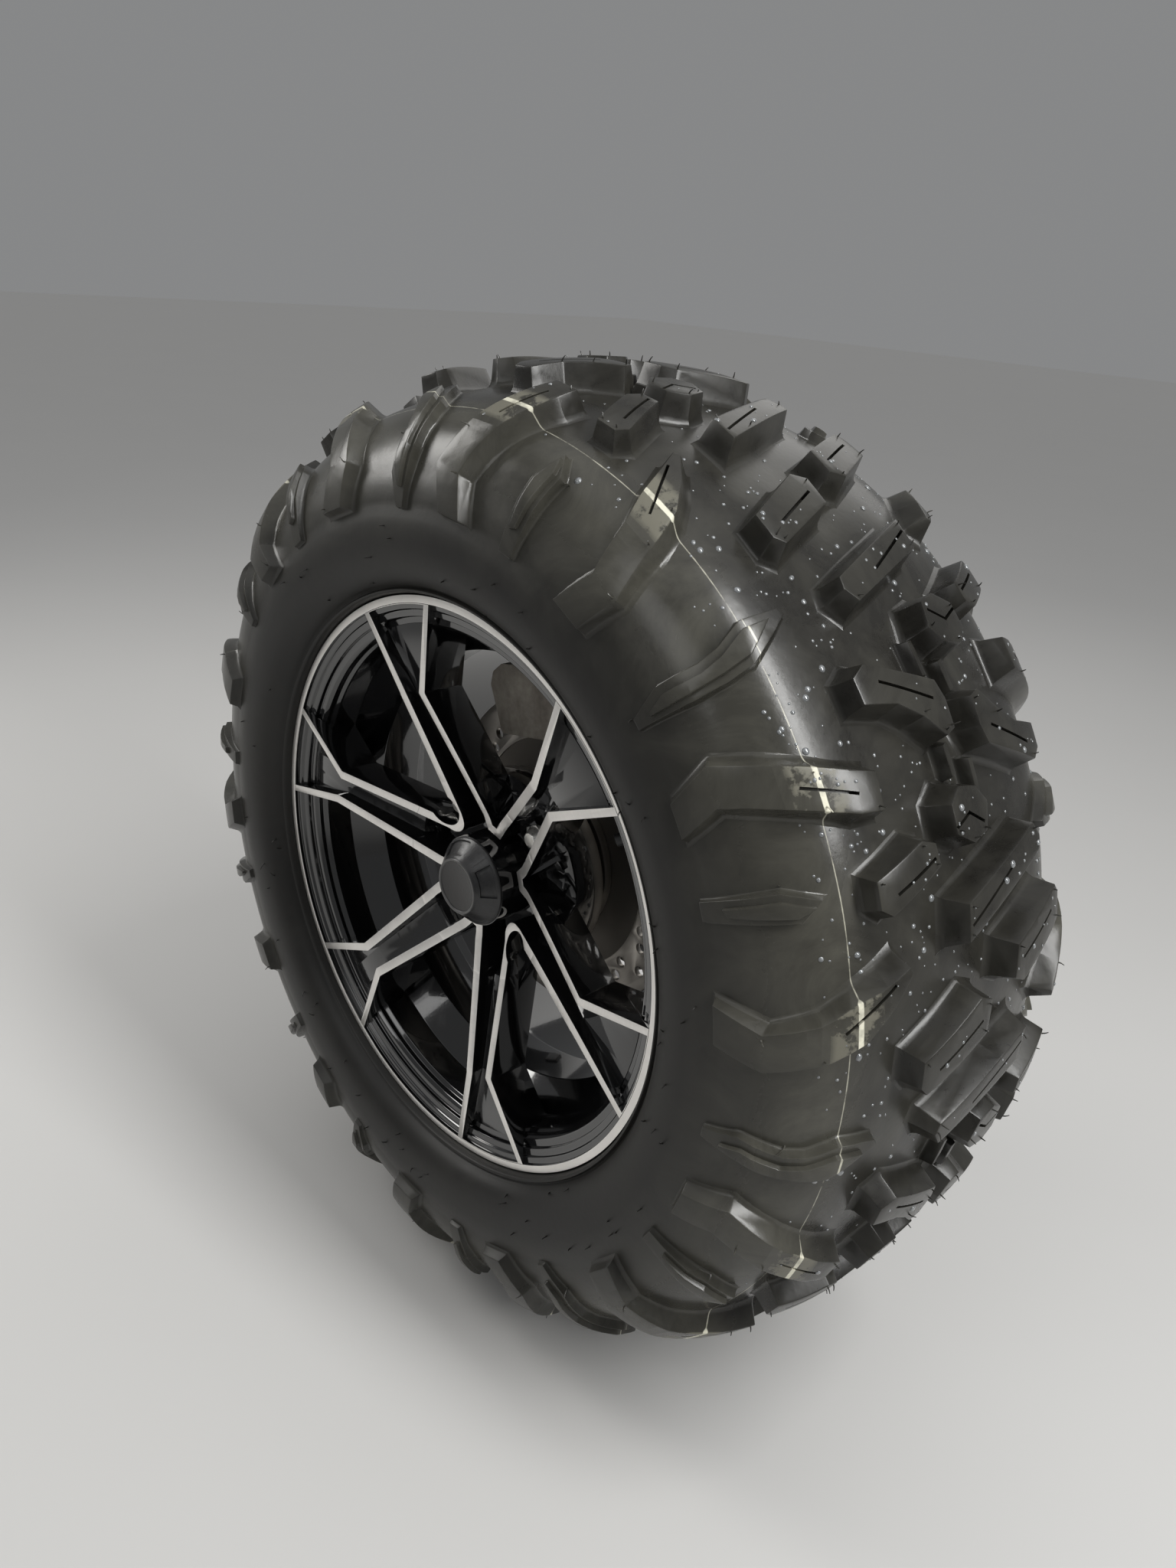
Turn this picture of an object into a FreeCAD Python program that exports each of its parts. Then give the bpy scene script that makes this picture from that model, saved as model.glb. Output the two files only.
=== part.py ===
import FreeCAD, Part
import math
import os

# Left rear wheel end of a quad bike: tyre, alloy rim, hub, disc brake and knuckle.
# Millimetres. +X points to the vehicle's rear, +Y inboard (to the vehicle's middle), +Z up.
# Every piece is drawn about the wheel's centre, in the tyre's middle plane, and is then
# moved so that the origin is the middle of the lower arm's bore in the knuckle.
# Angles about the axle are in degrees: 0 is up and they grow towards the rear.

# Knuckle bores and the place of the wheel
LOWER_BORE_DROP = 88.0         # lower arm bore below the axle
LOWER_BORE_INBOARD = 48.0      # lower arm bore inboard of the tyre's middle plane
UPPER_BORE_RISE = 92.0         # upper arm bore above the axle
UPPER_BORE_INBOARD = 50.0      # upper arm bore inboard of the tyre's middle plane

# Tyre. Its round is drawn in flats.
TYRE_RADIUS = 336.5            # over the lugs
TYRE_BULGE = 33.7              # side lugs stand out past the bead by this
TYRE_WIDEST_RADIUS = 223.5     # radius at which the section is widest
TYRE_SECTION_POWER = 2.85      # squareness of the section's outline
TYRE_CROWN = 15.5              # rubber and plies under the groove floor
TYRE_WALL = 11.8               # sidewall
TYRE_TOE = 8.5                 # rubber over the bead seat at the bead's inner end
TYRE_LIP_GAP = 0.6             # between the rim's lip and the tyre
TOE_SETBACK = 2.0              # bead's inner end, from the seat's end
CARCASS_SIDES = 28
CAVITY_SIDES = 12
# Sidewall corners as shares of the way from the rim's lip to the tyre's widest point:
# outwards, along the axle
SIDEWALL_SHARES = ((1.83, 0.72), (1.20, 0.79), (0.59, 0.64), (0.04, 0.05))
# Cavity corners: share of the way from the bead to the cavity's crown, share of its half width
CAVITY_SHARES = ((0.995, 0.38), (0.835, 0.80), (0.49, 1.0))

# Tread, the same in each of its units round the tyre. Places across it are shares of the half
# width, negative outboard, and angles are in degrees.
TREAD_UNITS = 7
LUG_HEIGHT = 16.0              # lugs over the groove floor at the crown
LUG_DRAFT = 0.22               # slope of the lugs' sides
LUG_ROOT = 3.5                 # a lug reaches this far into the tyre
RIB_SHARE = 0.5                # height of the low side ribs as a share of the groove depth
TWIN_ANGLE = 110.2             # each lug has a twin, turned half round about half this angle
# Place across the tread, groove depth there as a share of LUG_HEIGHT
GROOVE_DEPTH_SHARES = ((0.0, 1.0), (0.34, 0.87), (0.62, 0.70), (0.83, 0.63), (0.955, 0.58))
# Corners of the tops of the centre lugs: place across, angle
CENTRE_LUG_SHARES = (
    ((-0.485, 51.1), (-0.435, 48.7), (-0.093, 51.8), (-0.082, 56.3), (-0.150, 56.6)),
    ((-0.233, 61.9), (-0.060, 61.2), (-0.026, 64.9), (-0.228, 66.0)),
    ((-0.635, 66.3), (-0.360, 64.1), (-0.356, 66.9), (-0.615, 69.6)),
    ((-0.233, 71.1), (0.310, 66.9), (0.318, 69.5), (-0.240, 74.5)),
    ((-0.473, 84.3), (-0.120, 80.0), (-0.095, 84.3), (-0.455, 87.6)),
)
# Side lugs and low side ribs: place across, first and last angle of the top
SIDE_LUG_SHARES = (
    ((-0.994, 53.4, 57.4), (-0.940, 51.4, 56.0), (-0.770, 53.9, 58.4), (-0.565, 58.2, 60.8)),
    ((-0.994, 77.2, 82.4), (-0.940, 79.6, 83.9), (-0.750, 76.2, 81.6), (-0.550, 72.6, 74.8)),
)
SIDE_RIB_SHARES = (
    ((-0.994, 42.8, 45.1), (-0.860, 42.6, 45.7), (-0.630, 42.5, 43.4)),
    ((-0.994, 65.3, 67.3), (-0.890, 65.5, 68.4), (-0.780, 67.4, 68.0)),
)

# Rim, a one-piece casting drawn as barrel and spokes
BEAD_RADIUS = 177.4            # bead seat of a 14 inch rim
BEAD_HALF_WIDTH = 108.0        # between the flanges' inner faces, halved
BEAD_SEAT_WIDTH = 20.0
BEAD_HUMP_HEIGHT = 1.6
BEAD_HUMP_WIDTH = 4.0
FLANGE_HEIGHT = 19.1           # flange over the bead seat
RING_WIDTH = 5.5               # width of the machined lip
RING_THICKNESS = 10.8          # outboard flange, from the bead to the lip's face
INNER_FLANGE_THICKNESS = 6.5
RING_RADIUS = BEAD_RADIUS + FLANGE_HEIGHT
RING_FACE = BEAD_HALF_WIDTH + RING_THICKNESS
INNER_FLANGE_FACE = BEAD_HALF_WIDTH + INNER_FLANGE_THICKNESS
TYRE_HALF_WIDTH = BEAD_HALF_WIDTH + TYRE_BULGE
FLANGE_CORNER = 2.5
BARREL_WALL = 5.0
WELL_DEPTH = 19.4              # drop centre under the bead seat
WELL_RADIUS = BEAD_RADIUS - WELL_DEPTH
WELL_OUTER_EDGE = 66.0         # drop centre's two ends, outboard of the middle plane
WELL_INNER_EDGE = 30.0
WELL_SLOPE = 16.0              # run of each side of the drop centre

# Spokes
SPOKE_COUNT = 6
SPOKE_ANGLE = 41.6             # first spoke's middle line
RAIL_RING_HALF_ANGLE = 10.6    # a rail meets the lip this far from the spoke's middle line
KINK_RADIUS = 133.0
KINK_HALF_SPACING = 10.6       # rail's middle line from the spoke's, at the kink
ROOT_RADIUS = 46.0
ROOT_HALF_SPACING = 16.2
TIP_RADIUS = 39.0              # where two neighbouring rails meet
V_ROUNDING = 4.0
KINK_ROUNDING = 3.0
# Rounding of a nut window's corner, on the rail's window side and its channel side
NUT_CORNER_INSIDE = 4.0
NUT_CORNER_OUTSIDE = 10.0
RAIL_WIDTH_RING = 5.0
RAIL_WIDTH_KINK = 6.4
RAIL_WIDTH_ROOT = 6.6
KINK_DEPTH = 2.0               # rail tops below the lip's face
ROOT_DEPTH = 33.0
TIP_DEPTH = 36.0
SPOKE_DEPTH = 30.0             # height of the windows' side walls
CHANNEL_DEPTH_RING = 8.0       # channel floor below the rail tops
CHANNEL_DEPTH_KINK = 9.0
CHANNEL_DEPTH_INNER = 14.0
CHANNEL_INNER_RADIUS = 74.0
WEB_THICKNESS = 6.0
PAD_RADIUS = 70.0              # hub pad
PAD_FACE = 64.0                # pad's outboard face, outboard of the middle plane
HUB_FACE = 47.0                # pad's face on the hub
CENTRE_BORE = 24.0
CENTRE_BOSS_RADIUS = 31.5
CENTRE_BOSS_FACE = 94.5
CUT_MARGIN = 10.0              # cutting shapes reach this far past what they cut
# Three-sided recess in each side wall of a spoke: along the spoke, distance outboard
WALL_RECESS_CORNERS = ((80.0, 84.5), (55.0, 62.4), (41.0, 80.0))
WALL_RECESS_DEPTH = 2.5

# Centre cap
CAP_BASE_RADIUS = 31.0
CAP_FRONT_RADIUS = 19.3
CAP_HEIGHT = 14.5              # over the rim's centre boss
CAP_FRONT_FACE = CENTRE_BOSS_FACE + CAP_HEIGHT
CAP_LIP = 1.2
CAP_EDGE = 1.2                 # rounding of the front's edge
CAP_EDGE_DROP = 2.0
CAP_WALL = 2.5
CAP_SKIRT_LENGTH = 12.0
CAP_SKIRT_GAP = 0.2
CAP_POCKET_COUNT = 4
CAP_POCKET_ANGLE = 336.0
CAP_POCKET_SPAN = 46.0
CAP_POCKET_DEPTH = 1.6
CAP_POCKET_MARGIN = 2.2        # plain cone left at the pocket's inner and outer edge
CAP_FACE_RECESS = 1.0

# Lug nuts and studs
NUT_COUNT = 4
NUT_ANGLE = 41.6
NUT_CIRCLE_RADIUS = 55.0
STUD_RADIUS = 5.0
STUD_HOLE_RADIUS = 6.5
STUD_END = 72.0
STUD_HEAD_RADIUS = 8.0
STUD_HEAD_THICKNESS = 4.0
NUT_ACROSS_FLATS = 17.0
NUT_SEAT_DEPTH = 6.0
NUT_SEAT_RADIUS = 9.5
NUT_DOME_START = 73.5
NUT_END = 78.5
NUT_DOME_RADIUS = 4.8
NUT_RECESS_RADIUS = 12.6       # room for a socket round each nut

# Valve and balance weight
VALVE_ANGLE = 57.0
VALVE_TILT = 50.0              # stem from the axle's direction
VALVE_RADIUS = 4.0
VALVE_LENGTH = 24.0
VALVE_FOOT_RADIUS = 8.5
VALVE_FOOT_THICKNESS = 3.0
VALVE_SEAT_ROOM = 20.0         # the foot's seat is cut this far into the tyre's side
WEIGHT_LENGTH_ANGLE = 9.0
WEIGHT_THICKNESS = 4.0
WEIGHT_WIDTH = 18.0
WEIGHT_PLACE = 100.0

# Hub
HUB_FLANGE_RADIUS = 68.0
HUB_FLANGE_THICKNESS = 10.0
HUB_PILOT_GAP = 0.1
HUB_PILOT_LENGTH = 10.0
HUB_BODY_RADIUS = 34.9
HUB_DISC_FLANGE_RADIUS = 57.0
HUB_DISC_FLANGE_THICKNESS = 6.0
HUB_NECK_RADIUS = 27.0
HUB_END = 44.0
SPLINE_BORE = 13.5
SPINDLE_RADIUS = 22.5

# Bearing
BEARING_OUTSIDE = 36.0
BEARING_SPLIT = 31.0
BEARING_RUNNING_GAP = 0.05
BEARING_START = 0.0
BEARING_WIDTH = 38.0

# Brake disc
DISC_RADIUS = 117.0
DISC_BAND_INNER = 84.5
DISC_FACE = 19.0               # outboard face, outboard of the middle plane
DISC_THICKNESS = 4.0
DISC_STEP = 1.2
DISC_HOLE_RADIUS = 4.0
DISC_HOLE_GROUPS = 16
DISC_BOLT_COUNT = 4
DISC_BOLT_CIRCLE = 47.0
DISC_BOLT_RADIUS = 4.0
DISC_BOLT_HEAD_RADIUS = 6.5
DISC_BOLT_HEAD = 5.0
# Hole rows of one group on the disc: radius, angle
DISC_HOLE_ROWS = ((106.1, -36.6), (91.9, -30.2), (97.2, -22.9))

# Knuckle
HOUSING_RADIUS = 46.0
HOUSING_START = 3.0            # outboard of the bearing's face
HOUSING_LIP = 3.0
HOUSING_LIP_BORE = 33.0
ARM_PLATE_START = 22.0
ARM_PLATE_THICKNESS = 18.0
LOWER_BOSS_RADIUS = 17.0
LOWER_BOSS_LENGTH = 76.0
UPPER_BOSS_RADIUS = 15.5
UPPER_BOSS_LENGTH = 66.0
BUSH_OUTSIDE = 10.5
BUSH_WALL = 2.5
BUSH_FLANGE_RADIUS = 14.5
BUSH_FLANGE = 3.0
BUSH_LENGTH = 24.0
ARM_SLEEVE_BORE = 5.1
EAR_RADIUS = 12.0
EAR_START = 8.0
EAR_THICKNESS = 12.0
EAR_CIRCLE_RADIUS = 79.0

# Caliper
CALIPER_ANGLE = -12.0
EAR_SPREAD = 34.0              # each ear from the caliper's middle line
BRACKET_THICKNESS = 6.0
BRACKET_BOLT_RADIUS = 4.0
BRACKET_BOLT_HEAD_RADIUS = 7.0
BRACKET_BOLT_HEAD = 5.5
SLIDE_SPREAD = 47.0            # each slide pin from the caliper's middle line, sideways
SLIDE_RADIUS_PLACE = 106.0
SLIDE_PIN_RADIUS = 5.0
SLIDE_BOSS_RADIUS = 9.5
SLIDE_GAP = 0.1
SLIDE_BOSS_START = 9.0
SLIDE_BOSS_END = 28.0
SLIDE_HEAD = 5.0
CALIPER_HALF_LENGTH = 36.0
BRIDGE_CLEARANCE = 5.5         # over the disc's edge
BRIDGE_THICKNESS = 15.5
CALIPER_OUTER = DISC_RADIUS + BRIDGE_CLEARANCE + BRIDGE_THICKNESS
FINGER_THICKNESS = 10.0
HOUSING_DEPTH = 28.0
HOUSING_SHOULDER = 4.0         # the piston's housing stands this far out of the body
PISTON_HOUSING_RADIUS = 25.0
PISTON_PLACE = 101.0
PAD_GAP = 0.3
PAD_LINING = 4.0
PAD_PLATE = 3.0
PAD_HALF_LENGTH = 27.0
PAD_EDGE_GAP = 2.0              # disc's edge outside the pads
PAD_HEIGHT = 27.0
PAD_OUTER_RADIUS = DISC_RADIUS - PAD_EDGE_GAP
PAD_INNER_RADIUS = PAD_OUTER_RADIUS - PAD_HEIGHT
BLEED_RADIUS = 4.0
BLEED_LENGTH = 12.0
BLEED_HOLE_DEPTH = 14.0
PORT_RADIUS = 5.0
PORT_DEPTH = 12.0
PORT_SIDE = 26.0               # from the caliper's middle line, towards the vehicle's front
PORT_RISE = 116.0              # from the axle

PARTS = "parts"
ORIGIN = FreeCAD.Vector(0, 0, 0)
AXLE = FreeCAD.Vector(0, 1, 0)
FRONT_TO_REAR = FreeCAD.Vector(1, 0, 0)
WHEEL_CENTRE = FreeCAD.Vector(0, -LOWER_BORE_INBOARD, LOWER_BORE_DROP)


def vec(x, y, z):
    return FreeCAD.Vector(x, y, z)


def around(radius, angle, y=0.0):
    """Point at a radius and angle about the axle."""
    turn = math.radians(angle)
    return vec(radius * math.sin(turn), y, radius * math.cos(turn))


def turned(shape, angle):
    copy = shape.copy()
    copy.rotate(ORIGIN, AXLE, angle)
    return copy


def revolved(profile):
    """Solid of revolution about the axle from (radius, y) corners."""
    corners = [vec(radius, y, 0) for radius, y in profile]
    wire = Part.makePolygon(corners + corners[:1])
    return Part.Face(wire).revolve(ORIGIN, AXLE, 360)


def ring(inner, outer, start, end):
    return revolved([(inner, start), (outer, start), (outer, end), (inner, end)])


def pin(radius, start, end, place=ORIGIN):
    """Cylinder along the axle's direction, from y = start to y = end."""
    return Part.makeCylinder(radius, end - start, vec(place.x, start, place.z), AXLE)


def cross_pin(radius, half_length, y, z, middle=0.0):
    """Cylinder along the vehicle's length."""
    return Part.makeCylinder(radius, 2 * half_length, vec(middle - half_length, y, z), FRONT_TO_REAR)


def rounded_wire(corners, y):
    """Closed outline in a plane across the axle, from (x, z, rounding) corners."""
    edges = []
    count = len(corners)
    starts = []
    ends = []
    arcs = []
    for index in range(count):
        x, z, rounding = corners[index]
        corner = vec(x, y, z)
        if rounding == 0:
            starts.append(corner)
            ends.append(corner)
            arcs.append(None)
            continue
        before = corners[index - 1]
        after = corners[(index + 1) % count]
        to_before = (vec(before[0], y, before[1]) - corner).normalize()
        to_after = (vec(after[0], y, after[1]) - corner).normalize()
        half_angle = to_before.getAngle(to_after) / 2
        reach = rounding / math.tan(half_angle)
        to_middle = (to_before + to_after).normalize()
        middle = corner + to_middle * (rounding / math.sin(half_angle) - rounding)
        starts.append(corner + to_before * reach)
        ends.append(corner + to_after * reach)
        arcs.append(middle)
    for index in range(count):
        if arcs[index] is not None:
            edges.append(Part.Arc(starts[index], arcs[index], ends[index]).toShape())
        following = starts[(index + 1) % count]
        if ends[index].distanceToPoint(following) > 1e-6:
            edges.append(Part.LineSegment(ends[index], following).toShape())
    return Part.Wire(edges)


def prism(corners, start, end):
    """Plate between y = start and y = end with a rounded outline."""
    face = Part.Face(rounded_wire(corners, start))
    return face.extrude(vec(0, end - start, 0))


def joined(shapes):
    return shapes[0].multiFuse(shapes[1:]).removeSplitter()


def save(name, shape):
    """Move a piece from the wheel's centre to its place and write it."""
    placed = shape.copy()
    placed.translate(WHEEL_CENTRE)
    placed.exportStep(PARTS + "/" + name + ".step")


# Tyre
def between(table, x):
    """Value at x on the straight runs through a table's (x, value) rows."""
    for (x0, value0), (x1, value1) in zip(table, table[1:]):
        if x <= x1:
            return value0 + (value1 - value0) * (x - x0) / (x1 - x0)
    return table[-1][1]


def outline(share):
    """Radius of the lug tops at a share of the half width, and the way out there (radius, y)."""
    height = TYRE_RADIUS - TYRE_WIDEST_RADIUS
    level = 1 - abs(share) ** TYRE_SECTION_POWER
    steepness = abs(share) ** (TYRE_SECTION_POWER - 1) * level ** (1 / TYRE_SECTION_POWER - 1)
    fall = height / TYRE_HALF_WIDTH * steepness
    length = math.hypot(1.0, fall)
    radius = TYRE_WIDEST_RADIUS + height * level ** (1 / TYRE_SECTION_POWER)
    return radius, 1.0 / length, math.copysign(fall, share) / length


def tread_point(share, angle, drop):
    """Point under the lug tops' outline by a drop."""
    radius, out_radius, out_y = outline(share)
    return around(radius - out_radius * drop, angle, share * TYRE_HALF_WIDTH - out_y * drop)


def groove_depth(share):
    return LUG_HEIGHT * between(GROOVE_DEPTH_SHARES, abs(share))


def flat_solid(faces):
    """Solid inside flat faces, which are given as lists of corners."""
    skin = Part.Compound([Part.Face(Part.makePolygon(corners + corners[:1])) for corners in faces])
    skin.sewShape()
    solid = Part.Solid(skin.Shells[0])
    if solid.Volume < 0:
        solid.reverse()
    return solid


def faceted_ring(profile, sides):
    """Ring about the axle in flats, from (radius, y) corners. The radii are those of its corners."""
    faces = []
    step = 360.0 / sides
    for side in range(sides):
        start = (side - 0.5) * step
        end = (side + 0.5) * step
        for (radius0, y0), (radius1, y1) in zip(profile, profile[1:] + profile[:1]):
            faces.append([
                around(radius0, start, y0),
                around(radius1, start, y1),
                around(radius1, end, y1),
                around(radius0, end, y0),
            ])
    return flat_solid(faces)


def spread(corners, distance):
    """Flat outline with each side moved outwards by a distance."""
    moved = []
    for index, (a, b) in enumerate(corners):
        a_before, b_before = corners[index - 1]
        a_after, b_after = corners[(index + 1) % len(corners)]
        before = math.hypot(a - a_before, b - b_before)
        after = math.hypot(a_after - a, b_after - b)
        out_a = (b - b_before) / before + (b_after - b) / after
        out_b = -(a - a_before) / before - (a_after - a) / after
        reach = distance * 2 / (out_a ** 2 + out_b ** 2)
        moved.append((a + out_a * reach, b + out_b * reach))
    return moved


def centre_lug(corners):
    """Lug with a flat top and sloped sides."""
    count = len(corners)
    tops = [tread_point(share, angle, 0.0) for share, angle in corners]
    middle_share = sum(share for share, angle in corners) / count
    middle_angle = sum(angle for share, angle in corners) / count
    middle = vec(0, 0, 0)
    for top in tops:
        middle += top * (1.0 / count)
    radius, out_radius, out_y = outline(middle_share)
    out = around(out_radius, middle_angle, out_y)
    along = around(1.0, middle_angle + 90.0)
    across = out.cross(along)
    flat = [((top - middle).dot(across), (top - middle).dot(along)) for top in tops]
    area = sum(a[0] * b[1] - b[0] * a[1] for a, b in zip(flat, flat[1:] + flat[:1]))
    if area < 0:
        flat = flat[::-1]
    depth = groove_depth(middle_share) + LUG_ROOT
    upper = [middle + across * a + along * b for a, b in flat]
    lower = [middle + across * a + along * b - out * depth for a, b in spread(flat, LUG_DRAFT * depth)]
    faces = [upper, lower]
    for index in range(count):
        after = (index + 1) % count
        faces.append([lower[index], lower[after], upper[after], upper[index]])
    return flat_solid(faces)


def strip(first, second):
    """Triangles between two lines of points."""
    faces = []
    for index in range(len(first) - 1):
        faces.append([first[index], first[index + 1], second[index + 1]])
        faces.append([first[index], second[index + 1], second[index]])
    return faces


def feet(stations, slope):
    """The two lines at the foot of a side lug or rib."""
    lines = ([], [])
    for share, start, end in stations:
        depth = groove_depth(share)
        flare = math.degrees(slope * depth / outline(share)[0])
        lines[0].append(tread_point(share, start - flare, depth + LUG_ROOT))
        lines[1].append(tread_point(share, end + flare, depth + LUG_ROOT))
    return lines


def side_lug(stations):
    """Lug that bends over the tyre's shoulder."""
    first = [tread_point(share, start, 0.0) for share, start, end in stations]
    last = [tread_point(share, end, 0.0) for share, start, end in stations]
    first_foot, last_foot = feet(stations, LUG_DRAFT)
    faces = strip(first, last) + strip(last_foot, first_foot)
    faces += strip(last, last_foot) + strip(first_foot, first)
    for index in (0, -1):
        faces.append([first[index], last[index], last_foot[index]])
        faces.append([first[index], last_foot[index], first_foot[index]])
    return flat_solid(faces)


def side_rib(stations):
    """Low rib with a sharp ridge that bends over the tyre's shoulder."""
    ridge = []
    for share, start, end in stations:
        ridge.append(tread_point(share, (start + end) / 2, groove_depth(share) * (1 - RIB_SHARE)))
    first_foot, last_foot = feet(stations, 0.0)
    faces = strip(ridge, last_foot) + strip(last_foot, first_foot) + strip(first_foot, ridge)
    for index in (0, -1):
        faces.append([ridge[index], last_foot[index], first_foot[index]])
    return flat_solid(faces)


def tread_lugs():
    lugs = [centre_lug(corners) for corners in CENTRE_LUG_SHARES]
    lugs += [side_lug(stations) for stations in SIDE_LUG_SHARES]
    lugs += [side_rib(stations) for stations in SIDE_RIB_SHARES]
    twins = [lug.copy() for lug in lugs]
    for twin in twins:
        twin.rotate(ORIGIN, around(1.0, TWIN_ANGLE / 2), 180)
    return [turned(lug, 360.0 * unit / TREAD_UNITS) for unit in range(TREAD_UNITS) for lug in lugs + twins]


def both_ways(outboard):
    """Whole section from its outboard half, which starts or ends in the middle plane."""
    return outboard + [(radius, -y) for radius, y in reversed(outboard) if y != 0.0]


def tyre():
    flats = 1 / math.cos(math.pi / CARCASS_SIDES)
    toe = BEAD_HALF_WIDTH - BEAD_SEAT_WIDTH + TOE_SETBACK
    section = []
    for share, part in GROOVE_DEPTH_SHARES:
        radius, out_radius, out_y = outline(-share)
        depth = LUG_HEIGHT * part
        section.append((radius - out_radius * depth, -share * TYRE_HALF_WIDTH - out_y * depth))
    for out, along in SIDEWALL_SHARES:
        radius = RING_RADIUS + TYRE_LIP_GAP + out * (TYRE_WIDEST_RADIUS - RING_RADIUS)
        section.append((radius, -(RING_FACE + along * (TYRE_HALF_WIDTH - RING_FACE))))
    section += [
        ((RING_RADIUS + TYRE_LIP_GAP) * flats, -BEAD_HALF_WIDTH),
        ((BEAD_RADIUS + FLANGE_CORNER) * flats, -BEAD_HALF_WIDTH),
        (BEAD_RADIUS * flats, -(BEAD_HALF_WIDTH - FLANGE_CORNER)),
        (BEAD_RADIUS * flats, -toe),
    ]
    crown = TYRE_RADIUS - LUG_HEIGHT - TYRE_CROWN
    side = TYRE_HALF_WIDTH - LUG_HEIGHT * GROOVE_DEPTH_SHARES[-1][1] / 2 - TYRE_WALL
    inside = [(BEAD_RADIUS + out * (crown - BEAD_RADIUS), -share * side) for out, share in CAVITY_SHARES]
    inside += [(BEAD_RADIUS + TYRE_TOE, -toe), (WELL_RADIUS, -toe)]
    solid = faceted_ring(both_ways(section), CARCASS_SIDES).multiFuse(tread_lugs())
    return solid.cut(faceted_ring(both_ways(inside), CAVITY_SIDES)).removeSplitter()


# Rim barrel
def barrel_inside():
    """Inside of the barrel at its outboard end, from the lip inwards."""
    lip_inner = RING_RADIUS - RING_WIDTH
    inside = BEAD_RADIUS - BARREL_WALL
    return [
        (lip_inner, -RING_FACE),
        (lip_inner, -(RING_FACE - 3.0)),
        (inside + 14.0, -(RING_FACE - 4.8)),
        (inside + 9.5, -(RING_FACE - 5.4)),
        (inside + 4.5, -(RING_FACE - 9.0)),
        (inside + 2.6, -(RING_FACE - 11.0)),
        (inside + 2.6, -(RING_FACE - 14.0)),
        (inside, -(RING_FACE - 17.0)),
        (inside, -(WELL_OUTER_EDGE + WELL_SLOPE)),
    ]


def rim_barrel():
    hump = BEAD_RADIUS + BEAD_HUMP_HEIGHT
    seat_end = BEAD_HALF_WIDTH - BEAD_SEAT_WIDTH
    hump_end = seat_end - BEAD_HUMP_WIDTH
    ledge = BEAD_RADIUS - 1.4
    outside = [
        (RING_RADIUS, -RING_FACE),
        (RING_RADIUS, -(BEAD_HALF_WIDTH + FLANGE_CORNER)),
        (RING_RADIUS - FLANGE_CORNER, -BEAD_HALF_WIDTH),
        (BEAD_RADIUS + FLANGE_CORNER, -BEAD_HALF_WIDTH),
        (BEAD_RADIUS, -(BEAD_HALF_WIDTH - FLANGE_CORNER)),
        (BEAD_RADIUS, -(seat_end + 1.5)),
        (hump, -seat_end),
        (hump, -hump_end),
        (ledge, -(WELL_OUTER_EDGE + WELL_SLOPE)),
        (WELL_RADIUS, -WELL_OUTER_EDGE),
        (WELL_RADIUS, -WELL_INNER_EDGE),
        (ledge, -(WELL_INNER_EDGE - WELL_SLOPE)),
        (ledge, hump_end - 1.5),
        (hump, hump_end),
        (hump, seat_end),
        (BEAD_RADIUS, seat_end + 1.5),
        (BEAD_RADIUS, BEAD_HALF_WIDTH - FLANGE_CORNER),
        (BEAD_RADIUS + FLANGE_CORNER, BEAD_HALF_WIDTH),
        (RING_RADIUS - FLANGE_CORNER, BEAD_HALF_WIDTH),
        (RING_RADIUS, BEAD_HALF_WIDTH + FLANGE_CORNER),
        (RING_RADIUS, INNER_FLANGE_FACE),
    ]
    inside_radius = BEAD_RADIUS - BARREL_WALL
    well_inside = WELL_RADIUS - BARREL_WALL
    inside = [
        (RING_RADIUS - RING_WIDTH, INNER_FLANGE_FACE),
        (inside_radius + 8.0, INNER_FLANGE_FACE - 1.5),
        (inside_radius, INNER_FLANGE_FACE - 8.0),
        (inside_radius, -(WELL_INNER_EDGE - WELL_SLOPE - 2.0)),
        (well_inside, -(WELL_INNER_EDGE + 1.5)),
        (well_inside, -(WELL_OUTER_EDGE - 1.5)),
    ]
    return revolved(outside + inside + barrel_inside()[::-1][:-1] + barrel_inside()[:1])


# Spokes and hub pad of the rim
def rail_top(radius):
    """Depth of the rails' tops below the lip's face at a radius."""
    if radius >= KINK_RADIUS:
        share = (radius - KINK_RADIUS) / (RING_RADIUS - RING_WIDTH - KINK_RADIUS)
        return KINK_DEPTH * (1 - share)
    slope = (ROOT_DEPTH - KINK_DEPTH) / (KINK_RADIUS - ROOT_RADIUS)
    return KINK_DEPTH + slope * (KINK_RADIUS - radius)


def window_side(outward):
    """One side of a window in its own frame, as (x, z) points from the lip to the root.

    outward is 1 for the rails' window edge and -1 for their channel edge.
    """
    half_pitch = math.radians(180.0 / SPOKE_COUNT)
    ring_half_width = (RING_RADIUS - RING_WIDTH) * math.sin(math.radians(RAIL_RING_HALF_ANGLE))
    # Along the spoke, across it, rail width
    stations = (
        (RING_RADIUS + 6.0, ring_half_width + 5.8, RAIL_WIDTH_RING),
        (KINK_RADIUS, KINK_HALF_SPACING, RAIL_WIDTH_KINK),
        (ROOT_RADIUS, ROOT_HALF_SPACING, RAIL_WIDTH_ROOT),
    )
    points = []
    for along, across, width in stations:
        side = -(across + outward * width / 2)
        x = along * math.sin(half_pitch) + side * math.cos(half_pitch)
        z = along * math.cos(half_pitch) - side * math.sin(half_pitch)
        points.append((x, z))
    return points


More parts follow.
